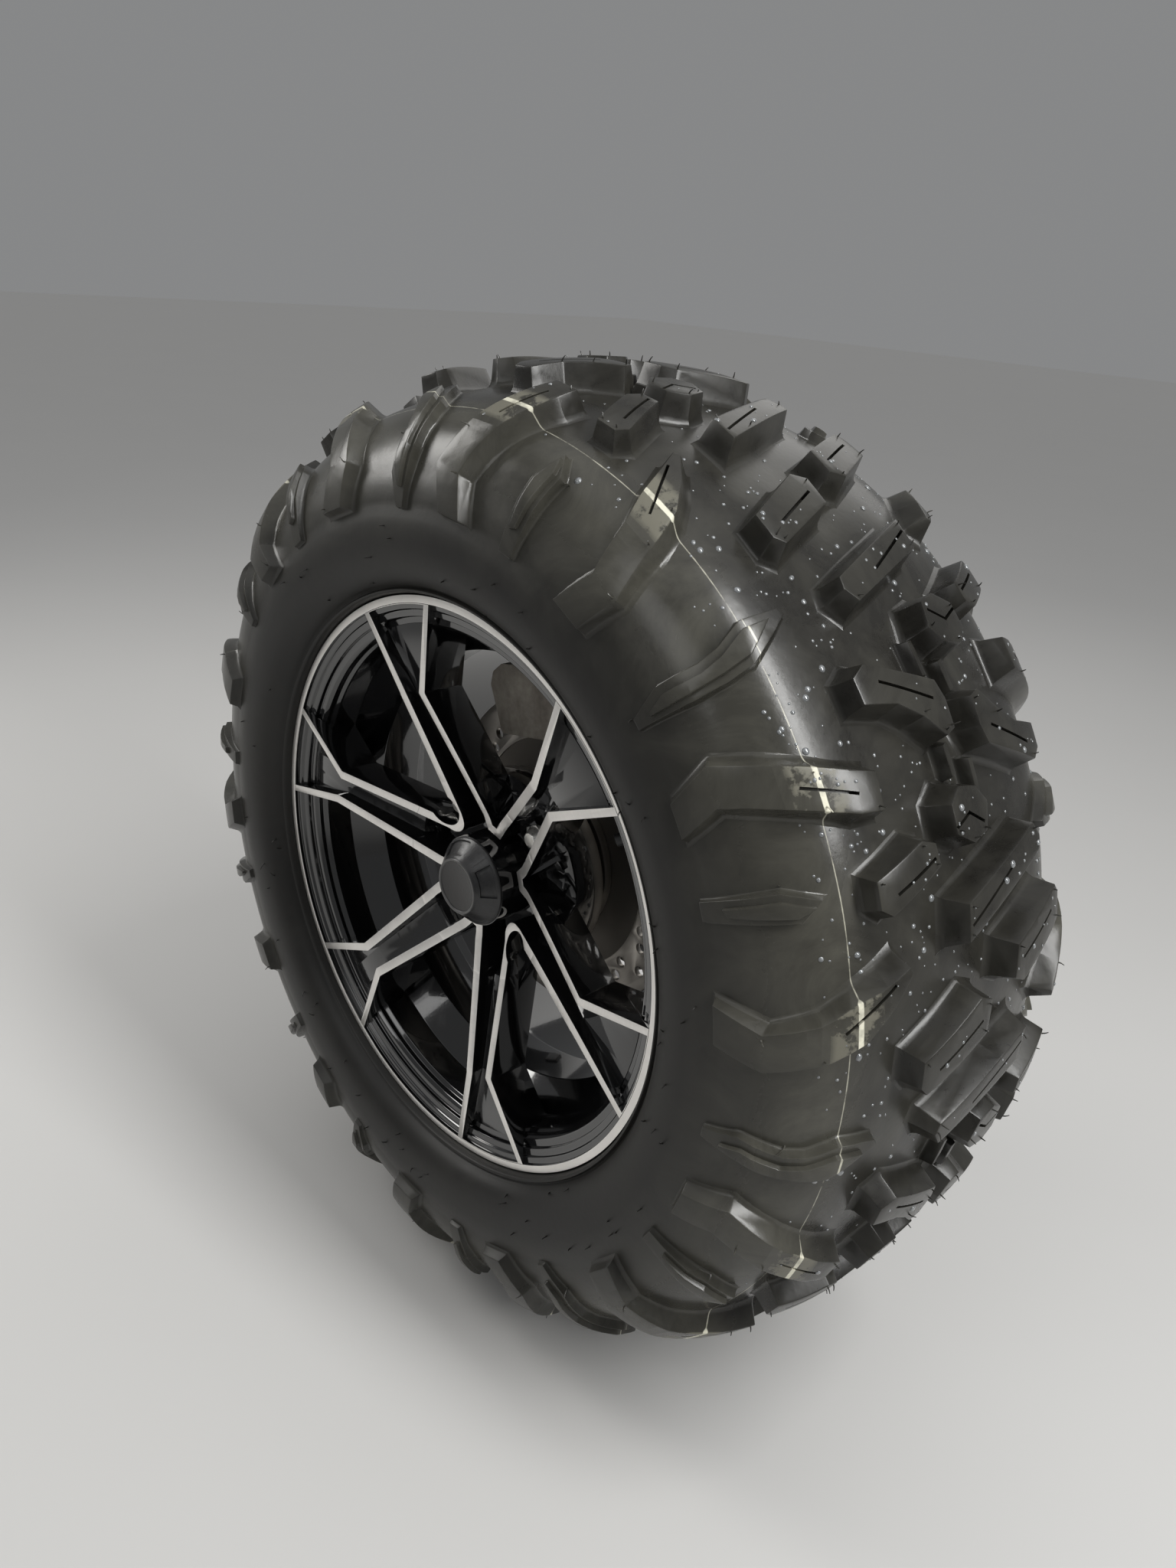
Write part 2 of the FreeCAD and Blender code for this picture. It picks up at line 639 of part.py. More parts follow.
def window_corners(outward):
    """Outline of a window, or of the rail round it, with the window's middle line up."""
    ring_end, kink, root = window_side(outward)
    tip = TIP_RADIUS + outward * RAIL_WIDTH_ROOT / 2
    tip_rounding = V_ROUNDING + (0 if outward > 0 else RAIL_WIDTH_ROOT)
    root_height = max(root[1], tip + 2.0)
    blunt = max(2.0, tip_rounding * 0.6)
    right = [
        (ring_end[0], ring_end[1], 0),
        (kink[0], kink[1], KINK_ROUNDING),
        (root[0], root_height, 0),
        (blunt, tip, 0),
    ]
    left = [(-x, z, r) for x, z, r in reversed(right)]
    return right + left


def nut_window_corners(outward):
    """The same for a window with a lug nut: its sides run straight to one rounded corner."""
    ring_end, kink, root = window_side(outward)
    slope = (kink[1] - root[1]) / (kink[0] - root[0])
    meeting = (0.0, root[1] - root[0] * slope, NUT_CORNER_INSIDE if outward > 0 else NUT_CORNER_OUTSIDE)
    right = [(ring_end[0], ring_end[1], 0), (kink[0], kink[1], KINK_ROUNDING)]
    left = [(-x, z, r) for x, z, r in reversed(right)]
    return right + [meeting] + left


def window_prisms(outward, start, end):
    prisms = []
    for index in range(SPOKE_COUNT):
        angle = SPOKE_ANGLE + 180.0 / SPOKE_COUNT + index * 360.0 / SPOKE_COUNT
        has_nut = any(abs((angle - nut + 180) % 360 - 180) < 5 for nut in nut_angles())
        corners = nut_window_corners(outward) if has_nut else window_corners(outward)
        shape = prism(corners, start, end)
        if has_nut and outward > 0:
            shape = shape.fuse(pin(NUT_RECESS_RADIUS, start, end, vec(0, 0, NUT_CIRCLE_RADIUS)))
        prisms.append(turned(shape, angle))
    return prisms


def nut_angles():
    return [NUT_ANGLE + index * 360.0 / NUT_COUNT for index in range(NUT_COUNT)]


def rim_casting():
    """Spokes and hub pad in one, without the barrel."""
    lip_inner = RING_RADIUS - RING_WIDTH
    kink_front = -(RING_FACE - KINK_DEPTH)
    boss_front = -(RING_FACE - TIP_DEPTH)
    kink_back = kink_front + SPOKE_DEPTH
    pad_back_front = -(RING_FACE - rail_top(PAD_RADIUS)) + SPOKE_DEPTH
    inside = barrel_inside()[1:-1]
    body = revolved(
        [(lip_inner, -RING_FACE)]
        + inside
        + [
            (BEAD_RADIUS - BARREL_WALL, kink_back),
            (KINK_RADIUS, kink_back),
            (PAD_RADIUS, pad_back_front),
            (PAD_RADIUS, -HUB_FACE),
            (CENTRE_BORE, -HUB_FACE),
            (CENTRE_BORE, -CENTRE_BOSS_FACE),
            (CENTRE_BOSS_RADIUS, -CENTRE_BOSS_FACE),
            (CENTRE_BOSS_RADIUS, boss_front),
            (ROOT_RADIUS, -(RING_FACE - ROOT_DEPTH)),
            (KINK_RADIUS, kink_front),
        ]
    )
    above = -(RING_FACE + CUT_MARGIN)
    below = -(HUB_FACE - CUT_MARGIN)
    pad = pin(PAD_RADIUS, -PAD_FACE, below)
    windows = [window.cut(pad) for window in window_prisms(1, above, below)]
    rails = window_prisms(-1, above, below)
    channel_inner = -(RING_FACE - rail_top(CHANNEL_INNER_RADIUS) - CHANNEL_DEPTH_INNER)
    channel = [
        (lip_inner - 0.5, -(RING_FACE - CHANNEL_DEPTH_RING)),
        (KINK_RADIUS, kink_front + CHANNEL_DEPTH_KINK),
        (CHANNEL_INNER_RADIUS, channel_inner),
    ]
    front_pocket = revolved(
        [(CENTRE_BOSS_RADIUS, above), (lip_inner - 0.5, above)]
        + channel
        + [(PAD_RADIUS - 4.0, -PAD_FACE), (CENTRE_BOSS_RADIUS, -PAD_FACE)]
    )
    back_pocket = revolved(
        [(radius, y + WEB_THICKNESS) for radius, y in channel]
        + [(CHANNEL_INNER_RADIUS, below), (lip_inner - 0.5, below)]
    )
    front_pocket = front_pocket.cut(Part.Compound(rails))
    back_pocket = back_pocket.cut(Part.Compound(rails))
    body = body.cut(windows)
    body = body.cut([front_pocket, back_pocket])
    holes = []
    for angle in nut_angles():
        place = around(NUT_CIRCLE_RADIUS, angle)
        holes.append(pin(STUD_HOLE_RADIUS, -PAD_FACE - 1, -HUB_FACE + 1, place))
        holes.append(pin(NUT_RECESS_RADIUS, above, -PAD_FACE, place))
        seat = Part.makeCone(
            NUT_SEAT_RADIUS, STUD_HOLE_RADIUS, NUT_SEAT_DEPTH, vec(place.x, -PAD_FACE, place.z), AXLE
        )
        holes.append(seat)
    return body.cut(holes).cut(wall_recesses())


def wall_recesses():
    """Recesses in the spokes' side walls, near the root."""
    lean = (ROOT_HALF_SPACING - KINK_HALF_SPACING) / (KINK_RADIUS - ROOT_RADIUS)
    wall = (RAIL_WIDTH_ROOT + RAIL_WIDTH_KINK) / 4
    recesses = []
    for side in (-1, 1):
        corners = []
        for along, outboard in WALL_RECESS_CORNERS:
            across = KINK_HALF_SPACING + lean * (KINK_RADIUS - along) + wall - WALL_RECESS_DEPTH
            corners.append(vec(side * across, -outboard, along))
        face = Part.Face(Part.makePolygon(corners + corners[:1]))
        recess = face.extrude(vec(side * CUT_MARGIN, 0, 0))
        for index in range(SPOKE_COUNT):
            recesses.append(turned(recess, SPOKE_ANGLE + index * 360.0 / SPOKE_COUNT))
    return recesses


def rim_pieces():
    """The casting's centre and its spokes, which meet at the hub pad's radius."""
    casting = rim_casting()
    core = pin(PAD_RADIUS, -(RING_FACE + CUT_MARGIN), -(HUB_FACE - CUT_MARGIN))
    centre = casting.common(core)
    outer = casting.cut(core).Solids
    spokes = []
    for index in range(SPOKE_COUNT):
        middle = around(KINK_RADIUS, SPOKE_ANGLE + index * 360.0 / SPOKE_COUNT, -RING_FACE)
        spokes.append(min(outer, key=lambda solid: solid.CenterOfMass.distanceToPoint(middle)))
    return centre, spokes


def centre_cap():
    base = -CENTRE_BOSS_FACE
    skirt = CENTRE_BORE - CAP_SKIRT_GAP
    cone_foot = (CAP_BASE_RADIUS, base - CAP_LIP)
    cone_top = (CAP_FRONT_RADIUS + CAP_EDGE, -(CAP_FRONT_FACE - CAP_EDGE_DROP))
    face = -(CAP_FRONT_FACE - CAP_FACE_RECESS)
    face_radius = CAP_FRONT_RADIUS - CAP_EDGE - CAP_FACE_RECESS
    hollow = CAP_FRONT_RADIUS - CAP_EDGE - CAP_WALL
    outer = [
        (CAP_BASE_RADIUS, base),
        cone_foot,
        cone_top,
        (CAP_FRONT_RADIUS, -CAP_FRONT_FACE),
        (CAP_FRONT_RADIUS - CAP_EDGE, -CAP_FRONT_FACE),
        (face_radius, face),
        (0, face),
        (0, face + CAP_WALL),
        (hollow, face + CAP_WALL),
        (skirt - CAP_WALL, base + CAP_WALL),
        (skirt - CAP_WALL, base + CAP_SKIRT_LENGTH),
        (skirt, base + CAP_SKIRT_LENGTH),
        (skirt, base),
    ]
    run = math.hypot(cone_top[0] - cone_foot[0], cone_top[1] - cone_foot[1])
    slope = ((cone_top[0] - cone_foot[0]) / run, (cone_top[1] - cone_foot[1]) / run)
    corners = []
    for distance, height in (
        (CAP_POCKET_MARGIN, -CAP_POCKET_DEPTH),
        (run - CAP_POCKET_MARGIN, -CAP_POCKET_DEPTH),
        (run - CAP_POCKET_MARGIN, CUT_MARGIN),
        (CAP_POCKET_MARGIN, CUT_MARGIN),
    ):
        radius = cone_foot[0] + slope[0] * distance - slope[1] * height
        y = cone_foot[1] + slope[1] * distance + slope[0] * height
        corners.append(vec(0, y, radius))
    section = Part.Face(Part.makePolygon(corners + corners[:1]))
    pocket = section.revolve(ORIGIN, AXLE, CAP_POCKET_SPAN)
    pockets = []
    for index in range(CAP_POCKET_COUNT):
        start = CAP_POCKET_ANGLE - CAP_POCKET_SPAN / 2
        pockets.append(turned(pocket, start + index * 360.0 / CAP_POCKET_COUNT))
    return revolved(outer).cut(pockets)


# Lug nuts, studs and valve
def lug_nut(angle):
    place = around(NUT_CIRCLE_RADIUS, angle)
    seat_top = -PAD_FACE
    flat = NUT_ACROSS_FLATS / 2
    corner = flat / math.cos(math.radians(30))
    hexagon = [
        (place.x + corner * math.sin(math.radians(60 * k)), place.z + corner * math.cos(math.radians(60 * k)), 0)
        for k in range(6)
    ]
    body = prism(hexagon, -NUT_DOME_START, seat_top)
    seat = Part.makeCone(NUT_SEAT_RADIUS, STUD_HOLE_RADIUS, NUT_SEAT_DEPTH, vec(place.x, seat_top, place.z), AXLE)
    chamfer_height = NUT_END - NUT_DOME_START
    dome = Part.makeCone(
        NUT_DOME_RADIUS, flat - 0.2, chamfer_height, vec(place.x, -NUT_END, place.z), AXLE
    )
    bore = pin(STUD_RADIUS, -STUD_END, seat_top + NUT_SEAT_DEPTH, place)
    return joined([body, seat, dome]).cut(bore)


def wheel_stud(angle):
    place = around(NUT_CIRCLE_RADIUS, angle)
    back = -(HUB_FACE - HUB_FLANGE_THICKNESS)
    shank = pin(STUD_RADIUS, -STUD_END, back, place)
    head = pin(STUD_HEAD_RADIUS, back, back + STUD_HEAD_THICKNESS, place)
    return joined([shank, head])


def balance_weight():
    inside = BEAD_RADIUS - BARREL_WALL
    whole = ring(inside - WEIGHT_THICKNESS, inside, WEIGHT_PLACE - WEIGHT_WIDTH, WEIGHT_PLACE)
    half = WEIGHT_LENGTH_ANGLE / 2
    reach = 2 * BEAD_RADIUS
    wedge = prism(
        [
            (0, 0, 0),
            (reach * math.sin(math.radians(-half)), reach * math.cos(math.radians(half)), 0),
            (reach * math.sin(math.radians(half)), reach * math.cos(math.radians(half)), 0),
        ],
        0,
        WEIGHT_PLACE + 10,
    )
    return turned(whole.common(wedge), VALVE_ANGLE + 180)


def valve_axis():
    """Foot point and direction of the valve's stem, in the plane of its angle."""
    slope_middle = (BEAD_RADIUS - 1.4 + WELL_RADIUS) / 2
    foot = vec(0, -(WELL_OUTER_EDGE + WELL_SLOPE / 2), slope_middle)
    lean = math.radians(VALVE_TILT)
    direction = vec(0, -math.cos(lean), -math.sin(lean))
    return foot, direction


def valve_stem():
    foot, direction = valve_axis()
    base = Part.makeCylinder(
        VALVE_FOOT_RADIUS, VALVE_FOOT_THICKNESS, foot - direction * VALVE_FOOT_THICKNESS, direction
    )
    stem = Part.makeCylinder(VALVE_RADIUS, VALVE_LENGTH, foot, direction)
    return turned(joined([base, stem]), VALVE_ANGLE)


def valve_hole():
    foot, direction = valve_axis()
    hole = Part.makeCylinder(VALVE_RADIUS, VALVE_LENGTH, foot, direction)
    seat = Part.makeCylinder(VALVE_FOOT_RADIUS, VALVE_SEAT_ROOM, foot - direction * VALVE_SEAT_ROOM, direction)
    return turned(joined([hole, seat]), VALVE_ANGLE)


# Hub and bearing
def hub():
    flange_back = -(HUB_FACE - HUB_FLANGE_THICKNESS)
    disc_seat = -DISC_FACE
    pilot = CENTRE_BORE - HUB_PILOT_GAP
    body = revolved(
        [
            (SPLINE_BORE, -(HUB_FACE + HUB_PILOT_LENGTH)),
            (pilot, -(HUB_FACE + HUB_PILOT_LENGTH)),
            (pilot, -HUB_FACE),
            (HUB_FLANGE_RADIUS, -HUB_FACE),
            (HUB_FLANGE_RADIUS, flange_back),
            (HUB_BODY_RADIUS, flange_back),
            (HUB_BODY_RADIUS, disc_seat - HUB_DISC_FLANGE_THICKNESS),
            (HUB_DISC_FLANGE_RADIUS, disc_seat - HUB_DISC_FLANGE_THICKNESS),
            (HUB_DISC_FLANGE_RADIUS, disc_seat),
            (HUB_BODY_RADIUS, disc_seat),
            (HUB_BODY_RADIUS, disc_seat + DISC_THICKNESS + 1.0),
            (HUB_NECK_RADIUS, disc_seat + DISC_THICKNESS + 6.0),
            (HUB_NECK_RADIUS, BEARING_START),
            (SPINDLE_RADIUS, BEARING_START),
            (SPINDLE_RADIUS, HUB_END),
            (SPLINE_BORE, HUB_END),
        ]
    )
    holes = [pin(STUD_RADIUS, -HUB_FACE - 1, flange_back + 1, around(NUT_CIRCLE_RADIUS, a)) for a in nut_angles()]
    for place in disc_bolt_places():
        holes.append(pin(DISC_BOLT_RADIUS, disc_seat - HUB_DISC_FLANGE_THICKNESS, disc_seat, place))
    return body.cut(holes)


def bearing_inner_race():
    return ring(SPINDLE_RADIUS, BEARING_SPLIT, BEARING_START, BEARING_START + BEARING_WIDTH)


def bearing_outer_race():
    return ring(
        BEARING_SPLIT + BEARING_RUNNING_GAP, BEARING_OUTSIDE, BEARING_START, BEARING_START + BEARING_WIDTH
    )


# Brake disc
def disc_bolt_places():
    return [around(DISC_BOLT_CIRCLE, 360.0 * k / DISC_BOLT_COUNT) for k in range(DISC_BOLT_COUNT)]


def brake_disc():
    front = -DISC_FACE
    back = front + DISC_THICKNESS
    body = revolved(
        [
            (HUB_BODY_RADIUS, front),
            (HUB_DISC_FLANGE_RADIUS, front),
            (HUB_DISC_FLANGE_RADIUS, front + DISC_STEP),
            (DISC_BAND_INNER, front + DISC_STEP),
            (DISC_BAND_INNER, front),
            (DISC_RADIUS, front),
            (DISC_RADIUS, back),
            (HUB_BODY_RADIUS, back),
        ]
    )
    holes = []
    for index in range(DISC_HOLE_GROUPS):
        turn = index * 360.0 / DISC_HOLE_GROUPS
        for radius, angle in DISC_HOLE_ROWS:
            holes.append(pin(DISC_HOLE_RADIUS, front - 1, back + 1, around(radius, angle + turn)))
    for place in disc_bolt_places():
        holes.append(pin(DISC_BOLT_RADIUS, front - 1, back + 1, place))
    return body.cut(holes)


def disc_bolts():
    back = -DISC_FACE + DISC_THICKNESS
    bolts = []
    for place in disc_bolt_places():
        shank = pin(DISC_BOLT_RADIUS, -DISC_FACE - HUB_DISC_FLANGE_THICKNESS, back, place)
        head = pin(DISC_BOLT_HEAD_RADIUS, back, back + DISC_BOLT_HEAD, place)
        bolts.append(joined([shank, head]))
    return Part.Compound(bolts)


# Knuckle
def ear_places():
    return [around(EAR_CIRCLE_RADIUS, CALIPER_ANGLE + side * EAR_SPREAD) for side in (-1, 1)]


def arm_plate(direction, half_root, half_end, height):
    start = ARM_PLATE_START
    end = start + ARM_PLATE_THICKNESS
    inner = HOUSING_RADIUS * 0.55
    corners = [
        (-half_root, direction * inner, 0),
        (-half_end, direction * height, 0),
        (half_end, direction * height, 0),
        (half_root, direction * inner, 0),
    ]
    return prism(corners, start, end)


def knuckle():
    back = BEARING_START + BEARING_WIDTH
    housing = pin(HOUSING_RADIUS, -HOUSING_START, back + HOUSING_LIP)
    pieces = [housing]
    pieces.append(arm_plate(-1, HOUSING_RADIUS * 0.82, LOWER_BOSS_LENGTH / 2 - 6, LOWER_BORE_DROP))
    pieces.append(arm_plate(1, HOUSING_RADIUS * 0.82, UPPER_BOSS_LENGTH / 2 - 4, UPPER_BORE_RISE))
    pieces.append(cross_pin(LOWER_BOSS_RADIUS, LOWER_BOSS_LENGTH / 2, LOWER_BORE_INBOARD, -LOWER_BORE_DROP))
    pieces.append(cross_pin(UPPER_BOSS_RADIUS, UPPER_BOSS_LENGTH / 2, UPPER_BORE_INBOARD, UPPER_BORE_RISE))
    for place in ear_places():
        end = EAR_START + EAR_THICKNESS
        along = vec(place.x, 0, place.z).normalize()
        across = vec(along.z, 0, -along.x) * EAR_RADIUS
        root = along * (HOUSING_RADIUS - 12)
        wide = across * 1.7
        corners = [
            (root.x + wide.x, root.z + wide.z, 0),
            (place.x + across.x, place.z + across.z, 0),
            (place.x - across.x, place.z - across.z, 0),
            (root.x - wide.x, root.z - wide.z, 0),
        ]
        pieces.append(prism(corners, EAR_START, end))
        pieces.append(pin(EAR_RADIUS, EAR_START, end, place))
    body = joined(pieces)
    cuts = [
        pin(BEARING_OUTSIDE, BEARING_START, back),
        pin(HOUSING_LIP_BORE, -HOUSING_START - 1, back + HOUSING_LIP + 1),
        pin(BEARING_OUTSIDE, -HOUSING_START - 1, BEARING_START),
        cross_pin(BUSH_OUTSIDE, LOWER_BOSS_LENGTH, LOWER_BORE_INBOARD, -LOWER_BORE_DROP),
        cross_pin(BUSH_OUTSIDE, UPPER_BOSS_LENGTH, UPPER_BORE_INBOARD, UPPER_BORE_RISE),
    ]
    for place in ear_places():
        cuts.append(pin(BRACKET_BOLT_RADIUS, EAR_START - 1, EAR_START + EAR_THICKNESS + 1, place))
    return body.cut(cuts)


def arm_bush(boss_length, y, z, side):
    """Flanged bush pressed into one end of a boss."""
    end = side * boss_length / 2
    inner = BUSH_OUTSIDE - BUSH_WALL
    body = cross_pin(BUSH_OUTSIDE, BUSH_LENGTH / 2, y, z, end - side * BUSH_LENGTH / 2)
    flange = cross_pin(BUSH_FLANGE_RADIUS, BUSH_FLANGE / 2, y, z, end + side * BUSH_FLANGE / 2)
    return joined([body, flange]).cut(cross_pin(inner, boss_length, y, z))


def arm_sleeve(boss_length, y, z):
    """Steel sleeve through both bushes; the arm's bolt goes through it."""
    half = boss_length / 2 + BUSH_FLANGE
    return cross_pin(BUSH_OUTSIDE - BUSH_WALL, half, y, z).cut(cross_pin(ARM_SLEEVE_BORE, half, y, z))


# Caliper; drawn with its middle line up, then turned to its place
def slide_places():
    return [vec(side * SLIDE_SPREAD, 0, SLIDE_RADIUS_PLACE) for side in (-1, 1)]


def disc_back():
    return -DISC_FACE + DISC_THICKNESS


def pad(side):
    """Brake pad on the disc's outboard (-1) or inboard (1) face."""
    corners = [
        (-PAD_HALF_LENGTH, PAD_INNER_RADIUS + 3, 0),
        (-PAD_HALF_LENGTH, PAD_OUTER_RADIUS - 5, 0),
        (-PAD_HALF_LENGTH + 10, PAD_OUTER_RADIUS, 0),
        (PAD_HALF_LENGTH - 10, PAD_OUTER_RADIUS, 0),
        (PAD_HALF_LENGTH, PAD_OUTER_RADIUS - 5, 0),
        (PAD_HALF_LENGTH, PAD_INNER_RADIUS + 3, 0),
        (0, PAD_INNER_RADIUS, 0),
    ]
    thickness = PAD_LINING + PAD_PLATE
    if side < 0:
        return prism(corners, -DISC_FACE - PAD_GAP - thickness, -DISC_FACE - PAD_GAP)
    return prism(corners, disc_back() + PAD_GAP, disc_back() + PAD_GAP + thickness)


def brake_caliper():
    thickness = PAD_LINING + PAD_PLATE + PAD_GAP
    finger_back = -DISC_FACE - thickness
    finger_front = finger_back - FINGER_THICKNESS
    housing_front = disc_back() + thickness
    housing_end = housing_front + HOUSING_DEPTH
    half = CALIPER_HALF_LENGTH
    bridge_inner = DISC_RADIUS + BRIDGE_CLEARANCE
    finger = prism(
        [
            (-half + 8, PAD_INNER_RADIUS, 3),
            (-half, bridge_inner, 3),
            (-half + 4, CALIPER_OUTER - 6, 3),
            (-half + 14, CALIPER_OUTER, 3),
            (half - 14, CALIPER_OUTER, 3),
            (half - 4, CALIPER_OUTER - 6, 3),
            (half, bridge_inner, 3),
            (half - 8, PAD_INNER_RADIUS, 3),
        ],
        finger_front,
        finger_back,
    )
    bridge = prism(
        [
            (-half, bridge_inner, 0),
            (-half + 4, CALIPER_OUTER - 6, 3),
            (-half + 14, CALIPER_OUTER, 3),
            (half - 14, CALIPER_OUTER, 3),
            (half - 4, CALIPER_OUTER - 6, 3),
            (half, bridge_inner, 0),
        ],
        finger_front,
        housing_end - HOUSING_SHOULDER,
    )
    piston = pin(PISTON_HOUSING_RADIUS, housing_front, housing_end, vec(0, 0, PISTON_PLACE))
    neck = prism(
        [
            (-half + 6, PISTON_PLACE, 0),
            (-half, bridge_inner + 2, 0),
            (half, bridge_inner + 2, 0),
            (half - 6, PISTON_PLACE, 0),
        ],
        housing_front,
        housing_end - HOUSING_SHOULDER,
    )
    pieces = [finger, bridge, piston, neck]
    for place in slide_places():
        pieces.append(pin(SLIDE_BOSS_RADIUS, SLIDE_BOSS_START, SLIDE_BOSS_END, place))
        arm = prism(
            [
                (place.x, place.z - SLIDE_BOSS_RADIUS, 0),
                (place.x, place.z + SLIDE_BOSS_RADIUS, 0),
                (0, place.z + SLIDE_BOSS_RADIUS, 0),
                (0, place.z - SLIDE_BOSS_RADIUS, 0),
            ],
            SLIDE_BOSS_START,
            housing_end - HOUSING_SHOULDER,
        )
        pieces.append(arm)
    body = joined(pieces)
    cuts = [pin(SLIDE_PIN_RADIUS + SLIDE_GAP, 0, SLIDE_BOSS_END + 1, place) for place in slide_places()]
    cuts.append(
        Part.makeBox(
            PISTON_HOUSING_RADIUS,
            housing_front - finger_back,
            CALIPER_OUTER,
            vec(-PISTON_HOUSING_RADIUS / 2, finger_back, bridge_inner - 10),
        )
    )
    body_end = housing_end - HOUSING_SHOULDER
    cuts.append(pin(PORT_RADIUS, body_end - PORT_DEPTH, body_end + 1, port_place()))
    cuts.append(pin(BLEED_RADIUS, housing_end - BLEED_HOLE_DEPTH, housing_end, bleed_place()))
    return turned(body.cut(cuts), CALIPER_ANGLE)


def port_place():
    return vec(-PORT_SIDE, 0, PORT_RISE)


def bleed_place():
    return vec(-PISTON_HOUSING_RADIUS * 0.55, 0, PISTON_PLACE + PISTON_HOUSING_RADIUS * 0.55)


def bleed_screw():
    housing_end = disc_back() + PAD_LINING + PAD_PLATE + PAD_GAP + HOUSING_DEPTH
    screw = pin(BLEED_RADIUS, housing_end - BLEED_HOLE_DEPTH, housing_end + BLEED_LENGTH, bleed_place())
    return turned(screw, CALIPER_ANGLE)


def caliper_bracket():
    left, right = [vec(EAR_CIRCLE_RADIUS * math.sin(math.radians(side * EAR_SPREAD)), 0,
                       EAR_CIRCLE_RADIUS * math.cos(math.radians(side * EAR_SPREAD))) for side in (-1, 1)]
    start = EAR_START - BRACKET_THICKNESS
    outer = SLIDE_BOSS_RADIUS + 1
    corners = [
        (left.x - EAR_RADIUS, left.z - 4, 6),
        (-SLIDE_SPREAD - outer, SLIDE_RADIUS_PLACE + 6, 6),
        (-SLIDE_SPREAD + 4, SLIDE_RADIUS_PLACE + outer, 6),
        (-PISTON_HOUSING_RADIUS - 3, PISTON_PLACE - 10, 4),
        (-18, PISTON_PLACE - PISTON_HOUSING_RADIUS - 4, 4),
        (18, PISTON_PLACE - PISTON_HOUSING_RADIUS - 4, 4),
        (PISTON_HOUSING_RADIUS + 3, PISTON_PLACE - 10, 4),
        (SLIDE_SPREAD - 4, SLIDE_RADIUS_PLACE + outer, 6),
        (SLIDE_SPREAD + outer, SLIDE_RADIUS_PLACE + 6, 6),
        (right.x + EAR_RADIUS, right.z - 4, 6),
        (right.x - 2, right.z - EAR_RADIUS, 4),
        (left.x + 2, left.z - EAR_RADIUS, 4),
    ]
    plate = prism(corners, start, EAR_START)
    holes = [pin(BRACKET_BOLT_RADIUS, start - 1, EAR_START + 1, place) for place in (left, right)]
    holes += [pin(SLIDE_PIN_RADIUS, start - 1, EAR_START + 1, place) for place in slide_places()]
    return turned(plate.cut(holes), CALIPER_ANGLE)


def bracket_bolts():
    start = EAR_START - BRACKET_THICKNESS
    bolts = []
    for place in ear_places():
        shank = pin(BRACKET_BOLT_RADIUS, start, EAR_START + EAR_THICKNESS, place)
        head = pin(BRACKET_BOLT_HEAD_RADIUS, start - BRACKET_BOLT_HEAD, start, place)
        bolts.append(joined([shank, head]))
    return Part.Compound(bolts)


def slide_pins():
    pins = []
    for place in slide_places():
        shank = pin(SLIDE_PIN_RADIUS, EAR_START - BRACKET_THICKNESS, SLIDE_BOSS_END, place)
        head = pin(SLIDE_BOSS_RADIUS - 2, SLIDE_BOSS_END, SLIDE_BOSS_END + SLIDE_HEAD, place)
        pins.append(joined([shank, head]))
    return turned(Part.Compound(pins), CALIPER_ANGLE)


def build():
    os.makedirs(PARTS, exist_ok=True)
    save("tyre", tyre())
    save("rim_barrel", rim_barrel().cut(valve_hole()))
    centre, spokes = rim_pieces()
    save("rim_centre", centre)
    for number, spoke in enumerate(spokes, 1):
        save("rim_spoke_%d" % number, spoke)
    save("centre_cap", centre_cap())
    for number, angle in enumerate(nut_angles(), 1):
        save("lug_nut_%d" % number, lug_nut(angle))
        save("wheel_stud_%d" % number, wheel_stud(angle))
    save("valve_stem", valve_stem())
    save("balance_weight", balance_weight())
    save("hub", hub())
    save("bearing_inner_race", bearing_inner_race())
    save("bearing_outer_race", bearing_outer_race())
    save("brake_disc", brake_disc())
    save("disc_bolts", disc_bolts())
    save("knuckle", knuckle())
    save("lower_sleeve", arm_sleeve(LOWER_BOSS_LENGTH, LOWER_BORE_INBOARD, -LOWER_BORE_DROP))
    save("upper_sleeve", arm_sleeve(UPPER_BOSS_LENGTH, UPPER_BORE_INBOARD, UPPER_BORE_RISE))
    for name, side in (("front", -1), ("rear", 1)):
        save("lower_bush_" + name, arm_bush(LOWER_BOSS_LENGTH, LOWER_BORE_INBOARD, -LOWER_BORE_DROP, side))
        save("upper_bush_" + name, arm_bush(UPPER_BOSS_LENGTH, UPPER_BORE_INBOARD, UPPER_BORE_RISE, side))
    save("brake_caliper", brake_caliper())
    save("caliper_bracket", caliper_bracket())
    save("bracket_bolts", bracket_bolts())
    save("slide_pins", slide_pins())
    save("pad_outboard", turned(pad(-1), CALIPER_ANGLE))
    save("pad_inboard", turned(pad(1), CALIPER_ANGLE))
    save("bleed_screw", bleed_screw())


build()
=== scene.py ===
import math
import random

import bmesh
import bpy
from bpy.props import FloatProperty, FloatVectorProperty, IntProperty, PointerProperty
from mathutils import Matrix, Vector


